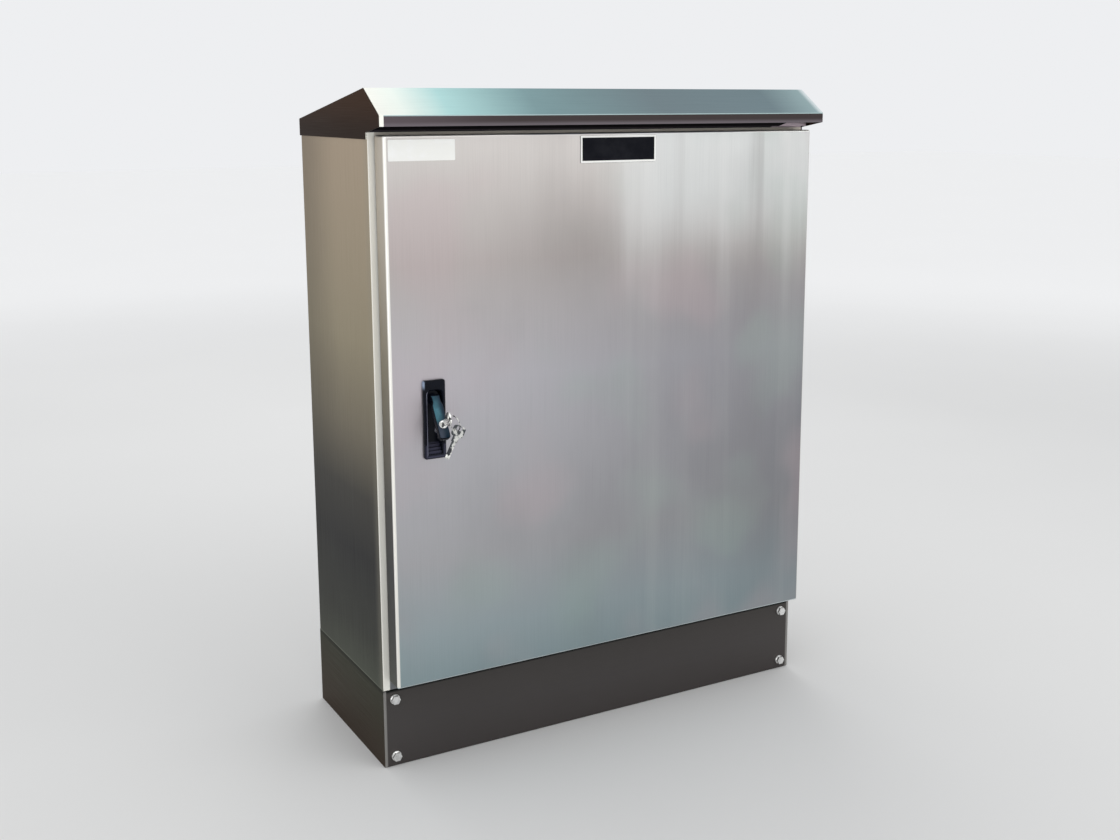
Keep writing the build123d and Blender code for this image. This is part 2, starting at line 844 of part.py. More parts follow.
with BuildPart() as hinge_door_leaves:
    door_wall_x = half_width - door_inset - sheet
    for height in hinge_heights:
        for side in (-1, 1):
            z = height + side * (knuckle_height + knuckle_gap)
            hinge_knuckle(z, (hinge_x, door_wall_x), (hinge_y - 8, hinge_y))
        block(
            (door_wall_x - 2, door_wall_x),
            (hinge_y - 17, hinge_y - knuckle_radius - 0.6),
            (height - leaf_half_height, height + leaf_half_height),
        )
    upright_rod([(hinge_x, hinge_y)], knuckle_bore, bore_low_z, bore_high_z, Mode.SUBTRACT)
save(hinge_door_leaves, "hinge_door_leaves")

with BuildPart() as hinge_pins:
    for height in hinge_heights:
        low, high = height - pin_half_length, height + pin_half_length
        upright_rod([(hinge_x, hinge_y)], hinge_pin_radius, low, high)
save(hinge_pins, "hinge_pins")

# Handle dish: a raised rim, a recess with a rounded top, three finger steps below, and a bearing
step_height = 4.5
step_depth = 4
recess_bevel = 1.8
bearing_radius = 10
dish_box_x = recess_width / 2 + 2
dish_box_z = (510, 614)

with BuildPart() as handle_dish:
    with BuildSketch(facing_front(door_front_y)):
        with Locations((handle_x, dish_middle_z)):
            RectangleRounded(dish_width, dish_height, 4)
    extrude(amount=door_front_y - dish_front_y)
    chamfer(handle_dish.faces().sort_by(Axis.Y)[0].edges(), 2.2)
    block(
        (handle_x - dish_box_x, handle_x + dish_box_x),
        (door_front_y, dish_back_y),
        dish_box_z,
    )
    with BuildSketch(facing_front(recess_floor_y)):
        with Locations((handle_x, (recess_bottom_z + hub_z) / 2)):
            Rectangle(recess_width, hub_z - recess_bottom_z)
        with Locations((handle_x, hub_z)):
            RectangleRounded(recess_width, recess_width, recess_corner)
    extrude(amount=recess_floor_y - dish_front_y, mode=Mode.SUBTRACT)
    for step in range(3):
        step_top = recess_bottom_z - step * step_height
        block(
            (handle_x - recess_width / 2, handle_x + recess_width / 2),
            (dish_front_y, recess_floor_y - (step + 1) * step_depth + 1),
            (step_top - step_height, step_top),
            mode=Mode.SUBTRACT,
        )
    rim_face = handle_dish.faces().sort_by(Axis.Y)[0]
    chamfer(rim_face.inner_wires()[0].edges(), recess_bevel)
    bearing_end_y = cam_y - 0.5
    front_rod([(handle_x, hub_z)], bearing_radius, bearing_end_y, dish_back_y)
    front_rod(
        [(handle_x, hub_z)], spindle_radius + 0.05, bearing_end_y, recess_floor_y, Mode.SUBTRACT
    )
save(handle_dish, "handle_dish")

# Frame pushed on behind the door, which holds the dish
clamp_border = 7
clamp_thickness = 2
with BuildPart() as dish_clamp:
    with BuildSketch(facing_front(door_inner_y + clamp_thickness)):
        with Locations((handle_x, hatch_middle_z)):
            clamp_height = hatch_top_z - hatch_bottom_z + 2 * clamp_border
            RectangleRounded(hatch_width + 2 * clamp_border, clamp_height, 3)
            Rectangle(hatch_width, hatch_top_z - hatch_bottom_z, mode=Mode.SUBTRACT)
    extrude(amount=clamp_thickness)
save(dish_clamp, "dish_clamp")

# Hub: a disc with a lug for the lever, the spindle, and a squared and peened end that holds the cam
root_radius = 5.5
hub_front_y = lift_pin_y + root_radius + 0.6
hub_bevel = 0.8
lug_half_thickness = 3.2
lug_radius = 3.8
square_end = 9
peened_radius = 4.5
hub_back_y = recess_floor_y - 0.3
shoulder_y = cam_y - 0.3
cam_back_y = cam_y + cam_thickness

with BuildPart() as handle_hub:
    hub_place = [(handle_x, hub_z)]
    front_rod(hub_place, hub_radius, hub_back_y, hub_front_y)
    chamfer(handle_hub.edges().group_by(Axis.Y)[0], hub_bevel)
    block(
        (handle_x - lug_half_thickness, handle_x + lug_half_thickness),
        (lift_pin_y, hub_front_y),
        (hub_z - lug_radius, hub_z + lug_radius),
    )
    lug_side = Plane(
        origin=(handle_x - lug_half_thickness, lift_pin_y, hub_z), x_dir=(0, 1, 0), z_dir=(1, 0, 0)
    )
    with BuildSketch(lug_side):
        Circle(lug_radius)
    extrude(amount=2 * lug_half_thickness)
    with BuildSketch(lug_side):
        Circle(lift_pin_radius)
    extrude(amount=2 * lug_half_thickness, mode=Mode.SUBTRACT)
    front_rod(hub_place, spindle_radius, shoulder_y, hub_back_y)
    block(
        (handle_x - square_end / 2, handle_x + square_end / 2),
        (shoulder_y, cam_back_y),
        (hub_z - square_end / 2, hub_z + square_end / 2),
    )
    front_rod(hub_place, peened_radius, cam_back_y + 2, cam_back_y)
save(handle_hub, "handle_hub")

lift_pin_half_length = 6.5
with BuildPart() as lever_pin:
    with BuildSketch(lug_side.offset(lug_half_thickness - lift_pin_half_length)):
        Circle(lift_pin_radius)
    extrude(amount=2 * lift_pin_half_length)
save(lever_pin, "lever_pin")

# Cam: a tongue that points to the door's free edge, and two crank pins for the rods
tongue_width = 18
tongue_end_x = -half_width + flange + sheet + tongue_clearance
crank_pins = [
    (handle_x - crank_rise, hub_z + crank_rise),
    (handle_x + crank_rise, hub_z - crank_rise),
]

with BuildPart() as latch_cam:
    with BuildSketch(facing_front(cam_back_y)):
        with Locations((handle_x, hub_z)):
            Circle(crank_radius + 5)
        with Locations(((tongue_end_x + handle_x) / 2, hub_z)):
            Rectangle(handle_x - tongue_end_x, tongue_width)
        with Locations((handle_x, hub_z)):
            Rectangle(square_end, square_end, mode=Mode.SUBTRACT)
    extrude(amount=cam_thickness)
    tongue_tip = latch_cam.edges().filter_by(Axis.Y).group_by(Axis.X)[0]
    fillet(tongue_tip, 5)
    front_rod(crank_pins, crank_pin_radius, rod_y + rod_thickness + 0.5, cam_back_y)
save(latch_cam, "latch_cam")

# Lock rods, with a cross slot at the cam for the crank pin and a round tip
rod_slack = 0.6
upper_rod_x = handle_x - rod_offset
lower_rod_x = handle_x + rod_offset
upper_tip_z = top_z - flange - sheet - rod_tip_clearance
lower_tip_z = base_z + flange + sheet + rod_tip_clearance
heel_reach = 9


def lock_rod(x, pin_z, tip_z):
    """Flat rod from below or above its crank pin to a rounded tip at the frame."""
    side = 1 if tip_z > pin_z else -1
    heel_z = pin_z - side * heel_reach
    with BuildSketch(facing_front(rod_y + rod_thickness)) as rod:
        with Locations((x, (heel_z + tip_z) / 2)):
            Rectangle(rod_width, abs(tip_z - heel_z))
        with Locations((x, pin_z)):
            Rectangle(rod_width + 2, 2 * heel_reach)
            slot_height = 2 * (crank_pin_radius + rod_slack)
            SlotOverall(slot_height + crank_sway, slot_height, mode=Mode.SUBTRACT)
    extrude(rod.sketch, amount=rod_thickness)


with BuildPart() as rod_upper:
    lock_rod(upper_rod_x, hub_z + crank_rise, upper_tip_z)
    fillet(rod_upper.edges().filter_by(Axis.Y).group_by(Axis.Z)[-1], 5)
save(rod_upper, "rod_upper")

with BuildPart() as rod_lower:
    lock_rod(lower_rod_x, hub_z - crank_rise, lower_tip_z)
    fillet(rod_lower.edges().filter_by(Axis.Y).group_by(Axis.Z)[0], 5)
save(rod_lower, "rod_lower")

# Rod guides: hat-shaped brackets on the door with a slot for the rod
guide_half_height = 9
guide_wall = 3
guide_play = 0.3
guide_foot_half_width = 18
guide_foot = 2

with BuildPart() as rod_guides:
    for x, z in ((upper_rod_x, 880), (lower_rod_x, 250)):
        z_range = (z - guide_half_height, z + guide_half_height)
        outer = (x - rod_width / 2 - guide_wall, x + rod_width / 2 + guide_wall)
        block(outer, (door_inner_y, rod_y + rod_thickness + guide_wall), z_range)
        slot_half = rod_width / 2 + guide_play
        block(
            (x - slot_half, x + slot_half),
            (rod_y - guide_play, rod_y + rod_thickness + guide_play),
            z_range,
            mode=Mode.SUBTRACT,
        )
        foot_top_y = door_inner_y + guide_foot
        block(
            (x - rod_width / 2, x + rod_width / 2),
            (foot_top_y, rod_y - guide_wall),
            z_range,
            mode=Mode.SUBTRACT,
        )
        foot_x = (x - guide_foot_half_width, x + guide_foot_half_width)
        block(foot_x, (door_inner_y, foot_top_y), z_range)
save(rod_guides, "rod_guides")

# Lever, drawn in its own plane at the lift pin: its y runs back up the lever, its normal outwards
lift_angle = radians(lever_lift)
lever_plane = Plane(
    origin=(handle_x, lift_pin_y, hub_z),
    x_dir=(1, 0, 0),
    z_dir=(0, -cos(lift_angle), sin(lift_angle)),
)
lever_side = Plane(lever_plane.origin, x_dir=lever_plane.y_dir, z_dir=(1, 0, 0))
lever_width = 18
lever_neck = 14
neck_end = 8
shoulder_end = 13
lever_corner = 5
lever_edge = 2.5
lever_back = -1
lever_front = 7
lug_play = 0.3
lug_slot_front = 3
pin_play = 0.05
barrel_back = -13
barrel_front = 10
barrel_bevel = 0.8
lock_place = (0, -lock_distance)

with BuildPart() as lever:
    with BuildSketch(lever_plane.offset(-root_radius)) as lever_plan:
        with BuildLine():
            Polyline(
                (-lever_neck / 2, root_radius),
                (-lever_neck / 2, -neck_end),
                (-lever_width / 2, -shoulder_end),
                (-lever_width / 2, -lever_length),
                (lever_width / 2, -lever_length),
                (lever_width / 2, -shoulder_end),
                (lever_neck / 2, -neck_end),
                (lever_neck / 2, root_radius),
                close=True,
            )
        make_face()
        fillet(lever_plan.vertices(), lever_corner)
    extrude(amount=lever_front + root_radius)
    front_face = lever.faces().sort_by(Axis(lever_plane.origin, lever_plane.z_dir))[-1]
    fillet(front_face.edges(), lever_edge)
    with BuildSketch(lever_side):
        Circle(root_radius)
        with Locations((-lever_length / 2, (lever_front + lever_back) / 2)):
            Rectangle(lever_length, lever_front - lever_back)
    extrude(amount=lever_width / 2, both=True, mode=Mode.INTERSECT)
    with BuildSketch(lever_side):
        lug_slot = lug_radius + lug_play
        slot_end = root_radius + 1
        Circle(lug_slot)
        with Locations((slot_end / 2, (lug_slot_front - slot_end) / 2)):
            Rectangle(slot_end, lug_slot_front + slot_end)
        with Locations((-lug_slot / 2, -slot_end / 2)):
            Rectangle(lug_slot, slot_end)
    extrude(amount=lug_half_thickness + lug_play, both=True, mode=Mode.SUBTRACT)
    with BuildSketch(lever_side):
        Circle(lift_pin_radius + pin_play)
    extrude(amount=lift_pin_half_length, both=True, mode=Mode.SUBTRACT)
    with BuildSketch(lever_plane.offset(lever_back)):
        with Locations(lock_place):
            Circle(barrel_radius)
    extrude(amount=lever_front - lever_back, mode=Mode.SUBTRACT)
save(lever, "lever")

with BuildPart() as lock_barrel:
    with BuildSketch(lever_plane.offset(barrel_back)):
        with Locations(lock_place):
            Circle(barrel_radius)
            Circle(plug_radius + pin_play, mode=Mode.SUBTRACT)
    extrude(amount=barrel_front - barrel_back)
    rim = lock_barrel.faces().sort_by(Axis(lever_plane.origin, lever_plane.z_dir))[-1]
    chamfer(rim.outer_wire().edges(), barrel_bevel)
save(lock_barrel, "lock_barrel")

key_thickness = 2
key_blade = 6.5
key_bow_distance = 32
key_length = key_bow_distance - barrel_back - 1
key_play = 0.1
keyway_back = key_bow_distance - key_length - key_play

with BuildPart() as lock_plug:
    with BuildSketch(lever_plane.offset(barrel_back)):
        with Locations(lock_place):
            Circle(plug_radius)
    extrude(amount=barrel_front - barrel_back)
    with BuildSketch(lever_plane.offset(keyway_back)):
        with Locations(lock_place):
            Rectangle(key_thickness + 2 * key_play, key_blade + 2 * key_play)
    extrude(amount=barrel_front - keyway_back, mode=Mode.SUBTRACT)
save(lock_plug, "lock_plug")

# Keys: the bow is a rounded square with a slot at its far side, and the blade runs along minus x
key_bow = (17, 19)
key_bow_corner = 4.5
key_slot = (6, 9)
key_slot_corner = 2
key_slot_offset = 4.2
key_neck = 8
key_neck_rise = 1.5
key_tip = 4
key_notch_pitch = 4.5
key_notch_radius = 1.4


def key_shape(plane):
    """Key in a plane whose origin is the bow's middle."""
    with BuildSketch(plane.offset(-key_thickness / 2)) as outline:
        RectangleRounded(*key_bow, key_bow_corner)
        with Locations((-key_length / 2, 0)):
            Rectangle(key_length, key_blade)
        with Locations((-(key_bow[0] + key_neck) / 2, 0)):
            Rectangle(key_neck + 1, key_blade + 2 * key_neck_rise)
        with Locations((key_slot_offset, 0)):
            RectangleRounded(*key_slot, key_slot_corner, mode=Mode.SUBTRACT)
        with Locations(
            *[(key_tip - key_length + key_notch_pitch * notch, key_blade / 2) for notch in range(4)]
        ):
            RegularPolygon(key_notch_radius, 3, rotation=30, mode=Mode.SUBTRACT)
    extrude(outline.sketch, amount=key_thickness)


lock_origin = lever_plane.from_local_coords(Vector(0, -lock_distance, key_bow_distance))
with BuildPart() as key:
    key_shape(Plane(lock_origin, x_dir=lever_plane.z_dir, z_dir=(-1, 0, 0)))
save(key, "key")

# Split ring through the key's bow, leaning to the hinge side, and the spare key that hangs from it
ring_lean = radians(43)
ring_turn = radians(42)
ring_place = 0.3
ring_play = 1.6
spare_lean = radians(27)
to_back = Vector(0, 1, 0)

ring_top = lever_plane.from_local_coords(
    Vector(0, -lock_distance - ring_place, key_bow_distance + key_slot_offset)
)
ring_down = Vector(sin(ring_lean), 0, -cos(ring_lean))
ring_along = Vector(cos(ring_lean), 0, sin(ring_lean)) * cos(ring_turn) + to_back * sin(ring_turn)
ring_middle = ring_top + ring_down * ring_radius
ring_axis = Axis(ring_middle, ring_down.cross(ring_along))

with BuildPart() as key_ring:
    with BuildSketch(Plane(ring_middle, x_dir=ring_down, z_dir=ring_along)):
        with Locations((ring_radius, 0)):
            Circle(ring_wire)
    revolve(axis=ring_axis)
save(key_ring, "key_ring")

spare_axis = Vector(sin(spare_lean), 0, cos(spare_lean))
spare_face = (ring_along - spare_axis * ring_along.dot(spare_axis)).normalized()
spare_hang = key_slot_offset + key_slot[0] / 2 - ring_wire - ring_play
spare_middle = ring_top + ring_down * (2 * ring_radius) - spare_axis * spare_hang

with BuildPart() as spare_key:
    key_shape(Plane(spare_middle, x_dir=spare_axis, z_dir=spare_face))
save(spare_key, "spare_key")
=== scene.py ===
import math

import bmesh
import bpy
from mathutils import Matrix, Vector


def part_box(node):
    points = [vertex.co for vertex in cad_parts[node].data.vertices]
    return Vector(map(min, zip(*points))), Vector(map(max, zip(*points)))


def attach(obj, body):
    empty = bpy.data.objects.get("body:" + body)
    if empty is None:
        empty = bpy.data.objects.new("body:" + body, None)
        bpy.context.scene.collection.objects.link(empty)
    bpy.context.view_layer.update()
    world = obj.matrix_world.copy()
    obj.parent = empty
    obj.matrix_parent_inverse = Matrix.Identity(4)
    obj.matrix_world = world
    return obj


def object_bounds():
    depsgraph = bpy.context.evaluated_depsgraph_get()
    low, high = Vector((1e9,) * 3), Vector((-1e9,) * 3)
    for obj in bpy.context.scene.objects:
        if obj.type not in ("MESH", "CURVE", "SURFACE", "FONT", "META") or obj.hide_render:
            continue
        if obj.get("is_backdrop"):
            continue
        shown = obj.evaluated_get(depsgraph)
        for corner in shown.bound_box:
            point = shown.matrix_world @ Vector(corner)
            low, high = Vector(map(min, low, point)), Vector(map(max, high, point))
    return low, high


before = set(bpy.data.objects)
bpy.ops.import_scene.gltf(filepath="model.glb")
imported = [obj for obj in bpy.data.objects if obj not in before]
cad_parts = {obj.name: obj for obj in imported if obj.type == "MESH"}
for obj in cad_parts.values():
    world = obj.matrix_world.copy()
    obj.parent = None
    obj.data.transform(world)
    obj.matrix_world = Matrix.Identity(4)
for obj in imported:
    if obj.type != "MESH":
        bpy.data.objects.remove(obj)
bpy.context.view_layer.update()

bpy.context.scene.view_settings.view_transform = "Standard"


# Places on the board that finishes and new pieces share, in metres

PLINTH_TOP = 0.130
BODY_TOP = 1.000
BODY_HALF_WIDTH = 0.400
BODY_FRONT = -0.150
BODY_BACK = 0.150
GUTTER_BOTTOM = 0.9962
HOOD_HALF_LENGTH = 0.402
# The hood's lip has painted highlights below and above these heights.
LIP_LOW_EDGE, LIP_HIGH_EDGE = 1.0055, 1.0196  # below and above these the lip is paler
DOOR_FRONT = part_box("door_panel")[0].y
DOOR_INNER_FACE = -0.1862  # just in front of it, within the sheet
SKIN = 0.0008  # a face less deep than this is on the outside of the body sheet
LOCK_X = -0.320
BREAKER_Z, MAIN_SWITCH_Z = 0.560, 0.810


# Camera at the photograph's angle, and its lamps

PHOTO_WIDTH, PHOTO_HEIGHT = 1120, 840
FOCAL_PIXELS = 1356.3
VIEW_CENTRE = (584.3, 353.3)


def set_camera(place, azimuth, pitch, roll):
    """Makes the camera that looks along azimuth (0 is +Y, 90 is +X), pitch degrees below level."""
    lens = bpy.data.cameras.new("camera")
    lens.sensor_width = 36
    lens.lens = FOCAL_PIXELS / PHOTO_WIDTH * lens.sensor_width
    lens.shift_x = (PHOTO_WIDTH / 2 - VIEW_CENTRE[0]) / PHOTO_WIDTH
    lens.shift_y = (VIEW_CENTRE[1] - PHOTO_HEIGHT / 2) / PHOTO_WIDTH
    lens.clip_start, lens.clip_end = 0.05, 60
    camera = bpy.data.objects.new("camera", lens)
    bpy.context.scene.collection.objects.link(camera)
    turn, dip = math.radians(azimuth), math.radians(pitch)
    level = math.cos(dip)
    forward = Vector((math.sin(turn) * level, math.cos(turn) * level, -math.sin(dip)))
    right = Vector((math.cos(turn), -math.sin(turn), 0))
    up = right.cross(forward)
    tilt = Matrix.Rotation(math.radians(roll), 3, forward)
    right, up = tilt @ right, tilt @ up
    axes = Matrix((right, up, -forward)).transposed()
    camera.matrix_world = Matrix.Translation(place) @ axes.to_4x4()
    bpy.context.scene.camera = camera


def softbox(name, place, aim, size, power):
    """Square area light at place that points at aim."""
    light = bpy.data.lights.new(name, "AREA")
    light.shape = "SQUARE"
    light.size = size
    light.energy = power
    lamp = bpy.data.objects.new(name, light)
    bpy.context.scene.collection.objects.link(lamp)
    lamp.location = place
    lamp.rotation_euler = (Vector(aim) - Vector(place)).to_track_quat("-Z", "Y").to_euler()


# Shader nodes as Python expressions


class Value:
    """A node's output that takes part in Python arithmetic."""

    def __init__(self, nodes, socket):
        self.nodes, self.socket = nodes, socket

    def __add__(self, other):
        return self.nodes.maths("ADD", self, other)

    def __radd__(self, other):
        return self.nodes.maths("ADD", other, self)

    def __sub__(self, other):
        return self.nodes.maths("SUBTRACT", self, other)

    def __rsub__(self, other):
        return self.nodes.maths("SUBTRACT", other, self)

    def __mul__(self, other):
        return self.nodes.maths("MULTIPLY", self, other)

    def __rmul__(self, other):
        return self.nodes.maths("MULTIPLY", other, self)

    def __abs__(self):
        return self.nodes.maths("ABSOLUTE", self)

    def above(self, limit):
        return self.nodes.maths("GREATER_THAN", self, limit)

    def below(self, limit):
        return self.nodes.maths("LESS_THAN", self, limit)


class Nodes:
    """A node tree and the ways to add to it."""

    def __init__(self, tree):
        self.tree = tree

    def node(self, kind, settings=None, inputs=None, output=0):
        """Adds a node, sets it up, then fills its sockets with values or links."""
        made = self.tree.nodes.new(kind)
        for name, value in (settings or {}).items():
            if name == "stops":
                self.set_stops(made.color_ramp, value)
            else:
                setattr(made, name, value)
        for name, value in (inputs or {}).items():
            self.fill(made.inputs[name], value)
        return Value(self, made.outputs[output])

    def set_stops(self, ramp, stops):
        while len(ramp.elements) < len(stops):
            ramp.elements.new(1)
        for element, (place, colour) in zip(ramp.elements, stops):
            element.position = place
            element.color = (*colour, 1)

    def fill(self, socket, value):
        if isinstance(value, Value):
            self.tree.links.new(value.socket, socket)
        elif isinstance(value, tuple) and len(value) == 3 and len(socket.default_value) == 4:
            socket.default_value = (*value, 1)
        else:
            socket.default_value = value

    def maths(self, operation, first, second=0.0):
        return self.node("ShaderNodeMath", {"operation": operation}, {0: first, 1: second})

    def fit(self, value, low, high, first=0.0, last=1.0, smooth=True):
        """Maps low..high on a value to first..last, held at both ends."""
        kind = "SMOOTHSTEP" if smooth else "LINEAR"
        return self.node(
            "ShaderNodeMapRange",
            {"interpolation_type": kind},
            {"Value": value, "From Min": low, "From Max": high, "To Min": first, "To Max": last},
        )

    def mix(self, first, second, share):
        """Colour between first and second."""
        return self.node(
            "ShaderNodeMix", {"data_type": "RGBA"}, {0: share, 6: first, 7: second}, output=2
        )

    def seen(self):
        """1 for rays from the camera, off metal or through glass, 0 for those that only light."""
        kinds = ("Is Camera Ray", "Is Glossy Ray", "Is Transmission Ray")
        camera, glossy, clear = [self.node("ShaderNodeLightPath", output=kind) for kind in kinds]
        return self.fit(camera + glossy + clear, 0.0, 1.0)


class Finish(Nodes):
    """A material and the nodes that give it its look."""

    def __init__(self, name, **constants):
        self.material = bpy.data.materials.new(name)
        self.material.use_nodes = True
        super().__init__(self.material.node_tree)
        self.tree.nodes.clear()
        self.shader = self.tree.nodes.new("ShaderNodeBsdfPrincipled")
        output = self.tree.nodes.new("ShaderNodeOutputMaterial")
        self.tree.links.new(self.shader.outputs[0], output.inputs[0])
        self.set(**constants)

    def set(self, **sockets):
        """Sets the shader's own sockets; an underscore stands for a space."""
        for name, value in sockets.items():
            self.fill(self.shader.inputs[name.replace("_", " ")], value)

    def place(self, scale=(1, 1, 1)):
        """Object coordinates in metres, times a scale."""
        where = self.node("ShaderNodeTexCoord", output="Object")
        return self.node("ShaderNodeMapping", None, {"Vector": where, "Scale": scale})

    def along(self, axis):
        """Place along one axis of the object, in metres."""
        return self.node("ShaderNodeSeparateXYZ", None, {0: self.place()}, output=axis)

    def facing(self, axis):
        """How far the surface faces along one axis of the object, from -1 to 1."""
        normal = self.node("ShaderNodeNewGeometry", output="Normal")
        turned = self.node(
            "ShaderNodeVectorTransform",
            {"vector_type": "NORMAL", "convert_from": "WORLD", "convert_to": "OBJECT"},
            {"Vector": normal},
        )
        return self.node("ShaderNodeSeparateXYZ", None, {0: turned}, output=axis)

    def faces_forward(self):
        """1 on a surface that faces the front of the board."""
        return self.fit(self.facing("Y"), -0.5, -0.8)

    def faces_sideways(self):
        """1 on a surface that faces left or right."""
        return self.fit(abs(self.facing("X")), 0.5, 0.8)

    def noise(self, scale, detail=3, roughness=0.55):
        """Noise from 0 to 1, with its own scale on each axis, in cycles per metre."""
        return self.node(
            "ShaderNodeTexNoise",
            {"normalize": True},
            {"Vector": self.place(scale), "Scale": 1.0, "Detail": detail, "Roughness": roughness},
        )

    def ramp(self, value, stops):
        """Colour along a ramp of (place, colour) stops."""
        return self.node("ShaderNodeValToRGB", {"stops": stops}, {0: value})

    def bump(self, height, depth, strength=0.5):
        """Bends the normal by a height from 0 to 1 that stands for depth metres."""
        normal = self.node(
            "ShaderNodeBump", None, {"Height": height, "Distance": depth, "Strength": strength}
        )
        self.set(Normal=normal)


# Finishes


def tone(red, green, blue):
    """Colour from the values, 0 to 255, that it shows on a screen."""
    return tuple(((channel / 255 + 0.055) / 1.055) ** 2.4 for channel in (red, green, blue))


def times(colour, share):
    """A colour made darker or paler by a share."""
    return tuple(channel * share for channel in colour)


def brushed_steel(name, tones, grain, metallic=0.8, roughness=0.33):
    """Brushed sheet that takes its soft reflections from tones, with fine lines along the grain."""
    tint = (0.45, 0.45, 0.45)
    steel = Finish(name, Metallic=metallic, Specular_IOR_Level=0.2, Specular_Tint=tint)
    if grain == "upright":
        fine = steel.noise((1300, 1300, 8), 2)
    else:
        side = abs(steel.facing("X")).above(0.6)
        fine_front = steel.noise((8, 1300, 1300), 2)
        fine_side = steel.noise((1300, 8, 1300), 2)
        fine = fine_front + (fine_side - fine_front) * side
    clouds = steel.noise((5, 5, 3.2), 4)
    toned = tones(steel)
    toned = steel.mix(toned, tone(60, 58, 58), steel.fit(clouds, 0.55, 0.3, 0, 0.07))
    toned = steel.mix(toned, tone(70, 70, 70), steel.fit(fine, 0.4, 0.75, 0, 0.045))
    steel.set(Base_Color=toned)
    gloss = steel.fit(fine, 0.3, 0.7, roughness - 0.05, roughness + 0.07)
    steel.set(Roughness=gloss + clouds * 0.05)
    steel.bump(fine, 0.00003, 0.3)
    return steel


def painted_side_shading(steel):
    """Painted reflection and shade: beige high up and dark low down, for every sheet that faces
    sideways.
    """
    return steel.ramp(
        steel.along("Z"),
        [
            (0.13, tone(84, 88, 77)),
            (0.20, tone(64, 66, 60)),
            (0.33, tone(50, 50, 50)),
            (0.43, tone(74, 72, 67)),
            (0.54, tone(133, 125, 108)),
            (0.68, tone(166, 155, 131)),
            (0.98, tone(186, 168, 145)),
        ],
    )


def door_face_tones(steel, across, height):
    """Painted reflection and shade on the door's face: pale at the top, warm grey in the middle,
    cool low down, and darker to the right.
    """
    base = steel.ramp(
        height,
        [
            (0.15, tone(151, 168, 172)),
            (0.22, tone(163, 176, 180)),
            (0.34, tone(178, 178, 181)),
            (0.62, tone(193, 191, 196)),
            (0.80, tone(186, 179, 176)),
            (0.97, tone(207, 202, 198)),
        ],
    )
    # Painted shade towards the right of the door, stronger near its right edge.
    shade = steel.fit(across, -0.40, 0.26) * steel.fit(height, 0.92, 0.66)
    shade = shade * steel.fit(height, 0.1, 0.4, 0.45, 1.0)
    base = steel.mix(base, tone(84, 86, 92), shade * 0.42)
    edge = steel.fit(across, 0.16, 0.4) * steel.fit(height, 0.75, 0.45)
    edge = edge * steel.fit(height, 0.14, 0.26, 0.5, 1.0)
    base = steel.mix(base, tone(70, 74, 82), edge * 0.24)
    # A soft patch of painted shade high on the middle of the door.
    shaded_band = steel.fit(abs(across + 0.08), 0.17, 0.0) * steel.fit(abs(height - 0.83), 0.13, 0.0)
    base = steel.mix(base, tone(110, 104, 102), shaded_band * 0.2)
    # Painted reflection, pale, high on the right half of the door.
    pale = steel.fit(across, -0.05, 0.1) * steel.fit(height, 0.75, 0.91)
    base = steel.mix(base, tone(216, 219, 218), pale * 0.75)
    hues = steel.noise((4.5, 4.5, 4.5), 2, 0.4)
    base = steel.mix(base, tone(200, 176, 180), steel.fit(hues, 0.52, 0.68, 0, 0.22))
    base = steel.mix(base, tone(164, 188, 176), steel.fit(hues, 0.46, 0.32, 0, 0.2))
    # Streaks along the grain, shown as brighter and duller painted reflection high on the middle
    # and right of the door.
    streaks = steel.noise((15, 15, 0.5), 4, 0.5)
    lit_streaks = steel.fit(across, -0.2, 0.08) * steel.fit(height, 0.66, 0.93, 0.15, 1.0)
    bright, dull = steel.fit(streaks, 0.5, 0.72), steel.fit(streaks, 0.5, 0.3)
    base = steel.mix(base, tone(226, 226, 224), bright * lit_streaks * 0.5)
    return steel.mix(base, tone(128, 122, 122), dull * lit_streaks * 0.35)


def door_tones(steel):
    """The door's face, its bends with painted highlights, its returns, its top in painted shade and
    its plain grey back.
    """
    across, height = steel.along("X"), steel.along("Z")
    base = door_face_tones(steel, across, height)
    sideways, forward, upward = steel.facing("X"), steel.facing("Y"), steel.facing("Z")

    # The left return takes the sides' painted shade and reflection, with a paler painted reflection
    # high up.
    left_return = steel.mix(painted_side_shading(steel), tone(150, 150, 152), 0.3)
    high = steel.fit(height, 0.6, 0.95)
    left_return = steel.mix(left_return, tone(224, 216, 204), high * 0.75)
    base = steel.mix(base, left_return, steel.fit(sideways, -0.8, -0.97))
    # Painted shade on the faces of the door that look up, below the hood's lip.
    base = steel.mix(base, tone(58, 47, 53), steel.fit(upward, 0.8, 0.97))

    # Painted highlights on the rounded bends at the top, left, bottom and right, and on the left
    # rim.
    rounded = steel.fit(forward, -0.992, -0.96) * steel.fit(forward, -0.12, -0.4)
    left_bend = rounded * steel.fit(sideways, -0.05, -0.15)
    left_rim = steel.fit(across, -0.3845, -0.386) * steel.fit(forward, -0.5, -0.8)
    top_bend = rounded * steel.fit(upward, 0.05, 0.15)
    lit = steel.fit(across, -0.14, -0.2) + steel.fit(across, 0.2, 0.33)
    top_bend_highlight = steel.mix(tone(172, 172, 176), tone(252, 250, 244), lit)
    base = steel.mix(base, top_bend_highlight, top_bend)
    left_bend_highlight = steel.node("ShaderNodeClamp", None, {0: left_bend + left_rim})
    base = steel.mix(base, tone(255, 253, 246), left_bend_highlight)
    base = steel.mix(base, tone(222, 232, 234), rounded * steel.fit(upward, -0.05, -0.15))
    base = steel.mix(base, tone(226, 226, 220), rounded * steel.fit(sideways, 0.1, 0.3) * 0.8)

    back = steel.fit(forward, 0.3, 0.6) * steel.along("Y").above(DOOR_INNER_FACE)
    return steel.mix(base, tone(158, 158, 156), back)


